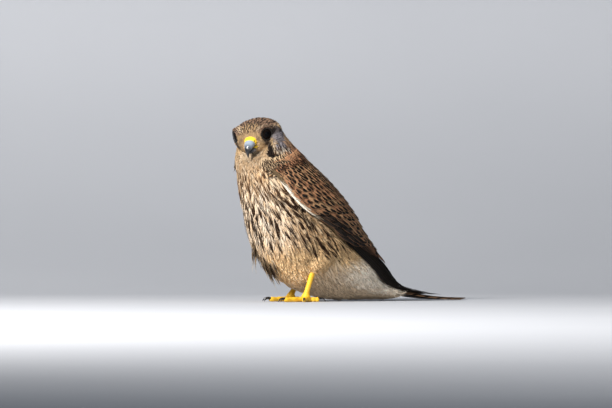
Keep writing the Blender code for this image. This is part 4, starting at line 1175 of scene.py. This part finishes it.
def cape(side, seed):
    """Feathers of the neck that run out over the shoulders."""
    rng = np.random.default_rng(seed)
    batch = Batch(0.14)
    made = []
    for r, tip in enumerate((1.62, 1.70, 1.78, 1.86, 1.95, 2.04)):
        count = 56
        for j in range(count):
            share = (j + 0.5 + (0.25 if r % 2 else -0.25)) / count + rng.uniform(-0.4, 0.4) / count
            psi = between(-44.0, 89.0, share)
            end = tip + rng.uniform(-0.08, 0.08) - 0.22 * (1 - smooth((psi + 44.0) / 30.0))
            root = end - 0.40
            s = between(root, end, ROWS)
            half = 1.6 * COVERT_SHAPE * rng.uniform(0.8, 1.15)
            level = np.interp(ROWS, (0, 0.3, 1), (3.4, 4.9 + 0.15 * r, 6.4 + 0.40 * r + rng.uniform(-0.25, 0.25)))
            lines = psi + rng.uniform(-4.0, 4.0) * ROWS
            made.append((r, end, psi, *wing_grid(s, lines, half, level, 5, 0.08, 0.05)))
    ends = np.array([bed(m[1], math.radians(m[2]), 6.0) for m in made]) * np.array((side, 1.0, 1.0))
    stations, turns = np.array([m[1] for m in made]), np.array([m[2] for m in made])
    flat = np.zeros(len(made))
    colour, streak, upper, _ = colours_at({"s": stations, "folded": turns, "h": to_head(ends), "head": flat,
                                           "thigh": flat})
    for (r, end, psi, top, normal), own, width in zip(made, colour, streak):
        wing = smooth((end - 1.70) / 0.22) * smooth((psi + 38.0) / 14.0)
        base = between(own, CHESTNUT * rng.uniform(0.8, 1.2), wing) * rng.uniform(0.85, 1.1)
        width = between(width * 0.85, rng.uniform(0.55, 0.95), wing)
        kind = np.array((width, between(0.35, 0.5, wing), 1.0, 0.0))
        mark = between(STREAK, BLACK, wing)
        batch.add(top, normal, base, mark, base * 1.25, 0.10, kind, wing_place(end, psi))
    return batch.done(side)


def wing_front(side, seed):
    """Narrow pale feathers along the wing's leading edge."""
    rng = np.random.default_rng(seed)
    batch = Batch(0.18)
    for row in range(2):
        for tip in np.arange(2.0 + 0.09 * row, 6.1, 0.20):
            end = tip + rng.uniform(-0.04, 0.04)
            s = between(max(end - 0.62, 1.55), end, ROWS)
            fade = smooth((end - 4.3) / 1.2)
            white = smooth((end - 2.65) / 0.45) * (1 - smooth((end - 4.3) / 0.7)) * (1 - 0.55 * row)
            psi = table(WING_EDGE, s) + 0.4 + row * between(2.2, 1.6, fade)
            half = between(between(1.3, 1.9, white), 1.2, fade) * COVERT_SHAPE * rng.uniform(0.9, 1.1)
            level = np.interp(ROWS, (0, 1), (6.0, 7.6)) + 0.45 * row - 0.9 * fade * ROWS
            base = between(BUFF * 0.26, WHITE * 1.15, white) * rng.uniform(0.9, 1.08)
            kind = np.array((0.0, 0.0, 1.0, 0.0))
            top, normal = wing_grid(s, psi, half, level, 5, 0.10, 0.10)
            batch.add(top, normal, base, STREAK, base * 1.1, 0.1, kind, wing_place(s[0], psi[0]))
    return batch.done(side)


ROWS = np.array((0.0, 0.12, 0.28, 0.46, 0.62, 0.76, 0.87, 0.95, 1.0))
COVERT_SHAPE = np.array((0.40, 0.66, 0.88, 1.0, 1.0, 0.93, 0.76, 0.5, 0.16))
LONG_ROWS = np.array((0.0, 0.1, 0.2, 0.3, 0.4, 0.5, 0.6, 0.7, 0.8, 0.88, 0.94, 0.98, 1.0))
LONG_SHAPE = np.array((0.5, 0.75, 0.92, 1.0, 1.0, 1.0, 1.0, 0.97, 0.9, 0.76, 0.56, 0.34, 0.12))

# Tiers of coverts: station of the tips at the wing's edge and near the back, number across
TIERS = ((1.98, 2.02, 17), (2.16, 2.22, 17), (2.36, 2.44, 17), (2.58, 2.68, 17), (2.81, 2.94, 16),
         (3.06, 3.22, 16), (3.32, 3.52, 15), (3.60, 3.84, 15), (3.90, 4.18, 14), (4.22, 4.55, 13),
         (4.56, 4.96, 13), (4.92, 5.42, 12), (5.32, 5.92, 11), (5.76, 6.42, 10), (6.22, 6.95, 9), (6.40, 7.50, 8))


class Batch:
    """Vanes gathered for one piece."""

    def __init__(self, thick):
        self.thick = thick
        self.rows = {key: [] for key in ("top", "normal", "base", "mark", "edge", "kind", "place")}

    def add(self, top, normal, base, mark, edge, rim, kind, place):
        for key, value in (("top", top), ("normal", normal), ("base", four(base)), ("mark", four(mark)),
                           ("edge", four(edge, rim)), ("kind", kind), ("place", place)):
            self.rows[key].append(value)

    def done(self, side):
        made = {key: np.array(value) for key, value in self.rows.items()}
        if side < 0:
            for key in ("top", "normal"):
                made[key] = made[key] * np.array((-1.0, 1.0, 1.0))
                made[key] = made[key][:, :, ::-1]
            made["place"] = made["place"] * np.array((-1.0, 1.0)) + np.array((0.6, 0.0))
        made["thick"] = self.thick
        return made


def wing_place(s, psi):
    return np.array((0.32 + 0.27 * (psi + 50.0) / 150.0, 0.02 + 0.96 * s / 16.0))


def coverts(side, seed):
    rng = np.random.default_rng(seed)
    batch = Batch(0.28)
    above = (1.62, 1.62)
    for r, (low, high, count) in enumerate(TIERS):
        last = r == len(TIERS) - 1
        for j in range(count):
            share = (j + 0.5 + (0.22 if r % 2 else -0.22)) / count
            share = np.clip(share + rng.uniform(-0.22, 0.22) / count, 0.03, 0.985)
            tip = between(low, high, share) + rng.uniform(-0.07, 0.07)
            root = between(above[0], above[1], share) - 0.5
            root = max(root, 1.5)
            s = between(root, tip, ROWS)
            mid = tip - 0.3
            reach = math.radians(tier_angle(mid, 1.0) - tier_angle(mid, 0.0)) / count
            at = math.radians(tier_angle(mid, share))
            reach *= np.linalg.norm(bed(mid, at + 0.01, 8.0) - bed(mid, at - 0.01, 8.0)) / 0.02
            half = 0.70 * reach * COVERT_SHAPE * rng.uniform(0.88, 1.14)
            rise = np.interp(tip, (2.0, 2.6, 3.2), (7.3, 8.1, 8.5))
            level = np.interp(ROWS, (0, 1), (6.2, rise + rng.uniform(-0.2, 0.25)))
            if last:
                level = np.interp(ROWS, (0, 1), (6.9, 8.1))
            front = smooth((share - 0.02) / 0.10)
            # Coverts further back along the wing are made darker: painted shade towards the wing's rear, on top of each
            # feather's own random tone.
            base = CHESTNUT * rng.uniform(0.75, 1.15) * np.interp(tip, (2.0, 4.0, 7.0), (1.05, 0.9, 0.75))
            base = between(base, BUFF * 0.85, 0.6 * rng.random() ** 2)
            dark = smooth((tip - 4.5) / 0.6) * (1 - smooth((share - 0.10 - 0.075 * (tip - 4.5)) / 0.12))
            base = between(base, FLIGHT * 2.0, dark)
            edge = between(between(base, BUFF * 1.6, rng.uniform(0.4, 1.0)), CHESTNUT * 1.1, dark)
            width = rng.uniform(0.65, 1.05) * (0.5 + 0.5 * front)
            kind = np.array((width, 0.54 + rng.uniform(-0.06, 0.05), rng.uniform(0.95, 1.0), 0.0))
            if tip > 5.0 and rng.random() < 0.5:
                kind = np.array((width * 0.8, 0.62, 0.97, 2.6))
            lines = tier_angle(s, share) + rng.uniform(-1.6, 1.6) * ROWS
            top, normal = wing_grid(s, lines, half, level, 5, 0.06, 0.07)
            batch.add(top, normal, base, BLACK, edge, 0.12 + 0.08 * rng.random(), kind, wing_place(root, lines[0]))
        above = (low, high)
    return batch.done(side)


PRIMARY_TIPS = (13.15, 13.5, 13.25, 12.72, 12.14, 11.57, 11.03, 10.46, 9.83, 9.3)
SECONDARY_TIPS = (6.2, 6.6, 6.95, 7.25, 7.5, 7.75, 7.95, 8.15, 8.3, 8.4, 8.45)


def primaries(side, seed):
    rng = np.random.default_rng(seed)
    batch = Batch(0.34)
    for k, tip in enumerate(PRIMARY_TIPS):
        tip += rng.uniform(-0.04, 0.04)
        spread = 3.7 + 0.2 * rng.uniform(-1, 1)
        s = between(5.2, tip, LONG_ROWS)
        inset = np.interp(s, (4.0, 6.0, 8.0, 10.0, 12.0, 13.5), (11.0, 9.0, 11.0, 19.0, 35.0, 44.0))
        psi = table(WING_EDGE, s) + inset + k * spread * np.interp(s, (4.0, 8.0, 10.0, 13.0), (0.9, 1.1, 1.5, 1.4))
        level = 1.5 + k * np.interp(s, (6.0, 7.0, 8.0, 9.4), (0.08, 0.14, 0.25, 0.5))
        top, normal = wing_grid(s, psi, 5.0 * LONG_SHAPE, level, 5, 0.03, 0.12)
        kind = np.array((0.0, 0.0, 1.0, 0.0))
        batch.add(top, normal, FLIGHT * rng.uniform(0.9, 1.3), BLACK, BUFF * 0.6, 0.05, kind, wing_place(s[0], psi[0]))
    return batch.done(side)


def secondaries(side, seed):
    rng = np.random.default_rng(seed)
    batch = Batch(0.32)
    for k, tip in enumerate(SECONDARY_TIPS):
        tip += rng.uniform(-0.05, 0.05)
        share = k / (len(SECONDARY_TIPS) - 1)
        s = between(4.3, tip, LONG_ROWS)
        start, finish = between(3.0, 63.0, share), between(31.0, 76.0, share)
        psi = between(start, finish, smooth((s - 3.6) / 4.0))
        level = np.interp(s, (4.5, 5.6), (3.9, 4.5 + 0.16 * k))
        top, normal = wing_grid(s, psi, 4.7 * LONG_SHAPE, level, 5, 0.03, 0.08)
        inner = smooth((share - 0.35) / 0.3)
        base = between(FLIGHT * 1.6, CHESTNUT * 0.9, inner)
        kind = np.array((0.0, 0.0, 1.0, 5.0 * inner))
        batch.add(top, normal, base, BLACK, CHESTNUT * 1.4, 0.12, kind, wing_place(s[0], psi[0]))
    return batch.done(side)


def wing_base(side, name):
    """Smooth underlay of the coverts, so that no gap opens between them."""
    share = np.linspace(0.0, 1.0, 24)
    stops = np.array((1.7, 1.95, 2.4, 3.08, 4.0, 5.0, 6.0))
    s, v = np.meshgrid(stops, share, indexing="ij")
    s = np.where(stops[:, None] >= 4.0, s + v * 0.14 * (s - 4.0) + v * 0.3, s)
    psi = np.radians(tier_angle(s, v))
    level = np.interp(s, (1.7, 1.95, 3.0, 6.6), (5.6, 6.6, 6.9, 6.7))
    top = bed(s, psi, level)
    normal = unit(bed(s, psi, level + 1.0) - top)
    if side < 0:
        flip = np.array((-1.0, 1.0, 1.0))
        top, normal = (top * flip)[:, ::-1], (normal * flip)[:, ::-1]
    rows, columns = s.shape
    under = (top - normal * np.where(s < 3.1, 4.5, 0.6)[..., None])[1:-1, 1:-1]
    faces = lens_template(rows, columns)
    points = np.concatenate([top.reshape(-1, 3), under.reshape(-1, 3)])
    obj = new_mesh("wing_base_" + name, *outward((points, faces)))
    # The underlay is a darker chestnut: painted shade in the gaps between the coverts.
    set_attribute(obj.data, "base", np.tile(CHESTNUT * 0.6, (len(points), 1)))
    obj.data.materials.append(SKIN_MATERIAL)
    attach(obj, "root")
    return obj


def build_wings():
    for side, name in ((1, "left"), (-1, "right")):
        wing_base(side, name)
        for label, make, slot, seed in (("coverts", coverts, "chestnut", 11), ("primaries", primaries, "flight", 23),
                                        ("secondaries", secondaries, "chestnut", 37)):
            batches = [make(side, seed + side)]
            if label == "coverts":
                batches += [cape(side, 51 + side), wing_front(side, 61 + side)]
            obj = coat_piece("wing_%s_%s_vanes" % (name, label), batches,
                             COVERT_MATERIAL if label == "coverts" else VANE_MATERIAL)
            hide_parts("wing_%s_%s" % (name, label))


build_wings()


TAIL_TOP = 1.9


def build_tail():
    batch = Batch(0.3)
    rng = np.random.default_rng(3)
    for i in range(6):
        for side in (1, -1):
            tip = 15.0 - 0.11 * i + rng.uniform(-0.03, 0.03)
            s = between(TAIL_START + 0.15, tip, LONG_ROWS)
            half = (9.6, 8.2, 6.6, 6.2, 6.2, 6.2)[i] * LONG_SHAPE
            centre = side * between(0.6 + 0.9 * i, 1.4 + 2.3 * i, LONG_ROWS)
            across = np.linspace(-1, 1, 5)
            x = centre[:, None] + half[:, None] * across
            depth = TAIL_TOP + 0.33 * i + (0.15 if side < 0 else 0.0) + 0.1 * side * across
            top = roof(s[:, None], x, depth)
            low = np.maximum(roof(s[:, None], x, depth + 0.3)[..., 2], 0.02)
            top[..., 2] = np.maximum(top[..., 2], low + 0.3)
            normal = unit(roof(s[:, None], x, depth - 1.0) - roof(s[:, None], x, depth))
            kind = np.array((0.0, 0.0, 1.0, 11.0))
            place = np.array((0.1 + 0.03 * i * side + 0.4, 0.02 + 0.96 * s[0] / 16.0))
            batch.add(top, normal, TAIL * rng.uniform(0.9, 1.1), BLACK, BUFF, 0.05, kind, place)
    obj = coat_piece("tail_vanes", [batch.done(1)], VANE_MATERIAL)
    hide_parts("tail")


build_tail()

# Head: eyes, lids, bill, cere

EYE_MATERIAL = plain_material("eye", 0.09, 0.02, 0.0, Specular_IOR_Level=0.07)
LID_MATERIAL = plain_material("lid_skin", 0.45, 0.1, 0.08)
HORN_MATERIAL = plain_material("horn", 0.22, 0.05, 0.03, Coat_Weight=0.3, Coat_Roughness=0.2)
CERE_MATERIAL = plain_material("cere_skin", 0.42, 0.1, 0.06)
YELLOW = np.array((0.84, 0.58, 0.03))


def sphere(centre, radius, sides=48, rows=32):
    turn = np.arange(sides) * 2 * math.pi / sides
    rings = []
    for t in np.linspace(0.02, 0.98, rows):
        r = radius * math.sin(t * math.pi)
        rings.append(np.stack([r * np.cos(turn), r * np.sin(turn), np.full(sides, -radius * math.cos(t * math.pi))], -1)
                     + centre)
    return outward(loft(rings))


def aligned(axis):
    axis = unit(axis)
    other = unit(np.cross(axis, (0.0, 0.0, 1.0)))
    return axis, other, np.cross(axis, other)


def ring_of(centre, axis, profile, sides):
    """Ring turned about an axis from a closed outline of (radius, height)."""
    axis, u, v = aligned(axis)
    turn = np.arange(sides) * 2 * math.pi / sides
    r, h = np.array(profile).T
    around = np.cos(turn)[:, None] * u + np.sin(turn)[:, None] * v
    points = centre + around[:, None] * r[None, :, None] + axis * h[None, :, None]
    n = len(profile)
    faces = []
    for i in range(sides):
        for j in range(n):
            k, m = (i + 1) % sides, (j + 1) % n
            faces.append((i * n + j, i * n + m, k * n + m, k * n + j))
    return outward((points.reshape(-1, 3), np.array(faces)))


def coloured(name, piece, colours, material, slot, *nodes):
    obj = new_mesh(name, *piece)
    set_attribute(obj.data, "base", colours)
    obj.data.materials.append(material)
    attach(obj, "root")
    if nodes:
        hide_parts(*nodes)
    return obj


def build_eyes():
    for side, name in ((1, "left"), (-1, "right")):
        at, axis = eye_place(side)
        ball = sphere(at - EYE_DEPTH * axis, EYE_RADIUS)
        rel = ball[0] - (at - EYE_DEPTH * axis)
        angle = np.degrees(np.arccos(np.clip(unit(rel) @ axis, -1, 1)))
        iris = smooth((angle - 22.0) / 3.0)
        colour = lerp(np.tile((0.001, 0.001, 0.0015), (len(rel), 1)), np.array((0.006, 0.0035, 0.0025)), iris)
        coloured("eyeball_" + name, ball, colour, EYE_MATERIAL, "eye", "eye_" + name)
        profile = [(4.66, 0.55), (4.80, 0.85), (5.05, 0.95), (5.35, 0.85), (5.6, 0.4), (5.75, -0.4), (5.8, -2.0),
                   (5.4, -2.5), (5.1, -2.3)]
        ring = ring_of(at, axis, profile, 72)
        rel = ring[0] - at
        r = np.linalg.norm(rel - (rel @ axis)[:, None] * axis, axis=-1)
        colour = lerp(np.tile((0.008, 0.006, 0.005), (len(rel), 1)), np.array((0.012, 0.009, 0.005)),
                      smooth((r - 4.8) / 0.3) * (1 - smooth((r - 5.4) / 0.3)))
        coloured("lid_ring_" + name, ring, colour, LID_MATERIAL, "lid", "lid_" + name)


def bill_rings(sections, fine=5, sides=40):
    rows = spline(np.array(sections), np.linspace(0, len(sections) - 1, (len(sections) - 1) * fine + 1))
    turn = np.arange(sides) * 2 * math.pi / sides
    rings = []
    for tf, tu, bf, bu, half in rows:
        top, low = np.array((tf, tu)), np.array((bf, bu))
        middle, reach = (top + low) / 2, (top - low) / 2
        rings.append(np.stack([middle[0] + reach[0] * np.sin(turn), half * np.cos(turn),
                               middle[1] + reach[1] * np.sin(turn)], -1))
    return np.array(rings)


NOSTRIL_AT = np.array((18.6, 5.0, 1.0))


def build_bill():
    upper = loft(bill_rings(UPPER_BILL))
    tip = smooth((upper[0][:, 0] - 23.0) / 5.5)
    tip = np.maximum(tip, smooth((-3.2 - upper[0][:, 2]) / 3.4))
    colour = lerp(np.tile((0.26, 0.31, 0.38), (len(upper[0]), 1)), np.array((0.012, 0.013, 0.016)), tip)
    coloured("bill_upper_horn", outward((from_head(upper[0]), upper[1])), colour, HORN_MATERIAL, "horn", "bill_upper")
    lower = loft(bill_rings(LOWER_BILL))
    tip = smooth((lower[0][:, 0] - 19.0) / 6.0)
    yellow = 1 - smooth((lower[0][:, 0] - 16.5) / 2.5)
    colour = lerp(np.tile((0.17, 0.18, 0.20), (len(lower[0]), 1)), np.array((0.02, 0.022, 0.026)), tip)
    colour = lerp(colour, YELLOW * 0.9, yellow)
    coloured("bill_lower_horn", outward((from_head(lower[0]), lower[1])), colour, HORN_MATERIAL, "horn", "bill_lower")
    rings = bill_rings(CERE, 9, 72)
    p = rings.reshape(-1, 3)
    fold = p.copy()
    fold[:, 1] = np.abs(fold[:, 1])
    gap = np.linalg.norm((fold - NOSTRIL_AT) * np.array((1.0, 0.6, 1.0)), axis=-1)
    press = 1 - smooth((gap - 0.45) / 0.6)
    p = p - press[:, None] * np.stack([0 * gap, np.sign(p[:, 1]) * 1.4, 0 * gap], -1)
    points, faces = loft(p.reshape(rings.shape))
    shade = np.concatenate([np.zeros(72), press, np.zeros(72)])
    colour = lerp(np.tile(YELLOW, (len(points), 1)), np.array((0.03, 0.02, 0.01)), shade)
    gapes = []
    for side in (1, -1):
        line = [(f, side * x, -4.7 - 0.12 * (17.4 - f)) for f, x in ((19.6, 3.3), (18.2, 4.4), (16.8, 5.3), (15.4, 6.2))]
        gapes.append(tube(from_head(line), (0.5, 0.8, 0.85, 0.5), 16))
    whole = join([(from_head(points), faces)] + gapes)
    extra = sum(len(g[0]) for g in gapes)
    colour = np.concatenate([colour, np.tile(YELLOW * 0.8, (extra, 1))])
    coloured("cere_skin", outward(whole), colour, CERE_MATERIAL, "skin", "cere")


build_eyes()
build_bill()

# Legs

LEG_MATERIAL = plain_material("leg_skin", 0.45, 0.14, 0.10)
CLAW_MATERIAL = plain_material("claw_horn", 0.25, 0.05, 0.02, Coat_Weight=0.3, Coat_Roughness=0.2)


def limb(points, radii, sides, fine, scute, front, floor=None):
    """Round limb through smoothed points, with scutes across its front."""
    rows = np.concatenate([np.array(points, float), np.array(radii, float)[:, None]], 1)
    rows = spline(rows, np.linspace(0, len(rows) - 1, fine))
    path, radius = rows[:, :3], rows[:, 3]
    walked = np.concatenate([[0.0], np.cumsum(np.linalg.norm(np.diff(path, axis=0), axis=-1))])
    wave = walked / scute % 1.0
    ridge = 1 - smooth(np.abs(wave - 0.5) * 2.0 - 0.1)
    turn = np.arange(sides) * 2 * math.pi / sides
    rings = []
    for i, at in enumerate(path):
        along = unit(path[min(i + 1, fine - 1)] - path[max(i - 1, 0)])
        other = unit(np.cross(along, front))
        side = np.cross(other, along)
        facing = smooth((np.cos(turn) + 0.1) / 0.6)
        r = radius[i] * (0.95 + 0.10 * facing * ridge[i])
        rings.append(at + r[:, None] * (np.outer(np.cos(turn), side) + np.outer(np.sin(turn), other)))
    rings = np.array(rings)
    if floor is not None:
        rings[..., 2] = np.maximum(rings[..., 2], floor)
    return loft(rings)


def toe_path(i, turn, length):
    angle = math.radians(turn)
    ahead = np.array((math.sin(angle), -math.cos(angle), 0.0))
    foot = np.array((ANKLES[i][0], ANKLES[i][1], 0.0))
    shares = (0.0, 0.2, 0.36, 0.54, 0.7, 0.88, 1.0)
    swell = (1.15, 1.1, 0.95, 1.1, 0.92, 1.05, 0.55)
    height = (3.2, 2.4, 2.0, 1.9, 1.8, 1.9, 2.0)
    points = [foot + ahead * length * t + np.array((0.0, 0.0, h)) for t, h in zip(shares, height)]
    return points, [TOE_RADIUS * r for r in swell], ahead


def claw_form(tip, ahead, length):
    points, radii = [], []
    steps = np.linspace(0, 1, 15)
    for t in steps:
        bend = math.radians(20.0 - 95.0 * t)
        if points:
            points.append(points[-1] + length / 14 * (ahead * math.cos(bend) + np.array((0, 0, math.sin(bend)))))
        else:
            points.append(tip - ahead * 1.8 + np.array((0.0, 0.0, 0.2)))
        radii.append(1.35 * (1 - t) ** 0.8 + 0.12)
    lift = min(p[2] - r for p, r in zip(points, radii))
    points = [p + np.array((0.0, 0.0, max(0.0, 0.05 - lift) * t)) for p, t in zip(points, steps)]
    made = tube(points, radii, 18)
    made[0][:, 2] = np.maximum(made[0][:, 2], 0.0)
    return made


def build_legs():
    for i, name in enumerate(("left", "right")):
        low, high = np.array(ANKLES[i]), np.array(HEELS[i])
        shares = (0.0, 0.12, 0.3, 0.6, 0.85, 1.0, 1.15)
        radii = (3.0, 2.6, 2.4, 2.5, 2.9, 3.4, 3.4)
        front = np.array((0.0, -1.0, 0.3))
        pieces = [limb([between(low, high, t) for t in shares], radii, 28, 90, 2.3, front)]
        hub = np.array((ANKLES[i][0], ANKLES[i][1], 3.4))
        pieces.append(limb([hub + (0, 0, z) for z in (-3.4, -1.5, 1.5, 4.2)], (3.4, 4.4, 4.2, 3.0), 28, 20, 9.0, front, 0.0))
        for digit, left_turn, right_turn, length in TOES:
            points, radii, ahead = toe_path(i, left_turn if i == 0 else right_turn, length)
            pieces.append(limb(points, radii, 24, 70, 1.7, np.array((0.0, 0.0, 1.0)), 0.0))
            claw = claw_form(points[-1], ahead, CLAW_LENGTH)
            colour = np.tile((0.012, 0.011, 0.011), (len(claw[0]), 1))
            coloured("claw_%s_%s_horn" % (name, digit), claw, colour, CLAW_MATERIAL, "claw", "claw_%s_%s" % (name, digit))
        leg = remeshed("leg_" + name, pieces, 0.38, 2)
        p = vertices_of(leg)
        p[:, 2] = np.maximum(p[:, 2], 0.0)
        leg.data.vertices.foreach_set("co", world(p).astype(np.float32).ravel())
        set_attribute(leg.data, "base", np.tile(YELLOW * np.array((1.0, 0.85, 1.0)), (len(p), 1)))
        leg.data.materials.clear()
        leg.data.materials.append(LEG_MATERIAL)
        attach(leg, "root")
        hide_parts("tarsus_" + name, "foot_" + name)


build_legs()

# Stage, light and camera

VIEW_TURN = math.radians(55.0)
CAMERA_FAR = 6.0
PHOTO_WIDE = 0.56304


def stage():
    """Pale floor that turns up into a low bank behind the bird."""
    away = np.array((-math.sin(VIEW_TURN), math.cos(VIEW_TURN), 0.0))
    right = np.array((math.cos(VIEW_TURN), math.sin(VIEW_TURN), 0.0))
    outline = [(-9.0, 0.0), (0.5, 0.0)]
    for a in np.radians(np.linspace(0, 90, 19)):
        outline.append((0.5 + 0.8 * math.sin(a), 0.345 - 0.345 * math.cos(a)))
    points = [away * far * 1000 + right * x * 1000 + np.array((0, 0, z * 1000)) for far, z in outline for x in (-4, 4)]
    faces = [(2 * i, 2 * i + 1, 2 * i + 3, 2 * i + 2) for i in range(len(outline) - 1)]
    floor = new_mesh("stage_floor", np.array(points) - np.array((0, SHIFT_Y, 0)), faces)
    n = Nodes("stage_floor")
    tone = n.mix(n.noise(3.0, 2.0, n.position()), (0.44, 0.46, 0.50), (0.48, 0.50, 0.54))
    floor.data.materials.append(n.finish(Base_Color=tone, Roughness=0.9))


def lamp(name, azimuth, height, far, size, power, colour):
    light = bpy.data.lights.new(name, 'AREA')
    light.size = size
    light.energy = power
    light.color = colour
    obj = bpy.data.objects.new(name, light)
    a, e = math.radians(azimuth), math.radians(height)
    at = Vector((math.sin(a) * math.cos(e), -math.cos(a) * math.cos(e), math.sin(e))) * far
    obj.location = at + Vector((0, -0.05, 0.09))
    obj.rotation_euler = (-at).to_track_quat('-Z', 'Y').to_euler()
    bpy.context.scene.collection.objects.link(obj)


def build_view():
    stage()
    lamp("key", 18.0, 30.0, 2.2, 0.5, 96.0, (1.0, 0.96, 0.91))
    lamp("fill", 80.0, 4.0, 3.0, 1.6, 12.0, (1.0, 0.98, 0.95))
    lamp("top", 60.0, 80.0, 3.4, 4.0, 24.0, (0.97, 0.98, 1.0))
    world_data = bpy.data.worlds.new("studio")
    world_data.use_nodes = True
    world_data.node_tree.nodes["Background"].inputs[0].default_value = (0.80, 0.86, 0.95, 1.0)
    world_data.node_tree.nodes["Background"].inputs[1].default_value = 0.22
    bpy.context.scene.world = world_data
    right = Vector((math.cos(VIEW_TURN), math.sin(VIEW_TURN), 0.0))
    toward = Vector((math.sin(VIEW_TURN), -math.cos(VIEW_TURN), 0.0))
    target = right * -0.04266 + Vector((0.0, 0.0, 0.08924))
    data = bpy.data.cameras.new("photo")
    data.sensor_width = 36.0
    data.sensor_fit = 'HORIZONTAL'
    data.lens = 36.0 * CAMERA_FAR / PHOTO_WIDE
    data.clip_end = 30.0
    camera = bpy.data.objects.new("photo", data)
    camera.location = target + toward * CAMERA_FAR
    camera.rotation_euler = toward.to_track_quat('Z', 'Y').to_euler()
    bpy.context.scene.collection.objects.link(camera)
    bpy.context.scene.camera = camera
    bpy.context.scene.view_settings.view_transform = 'Standard'


build_view()
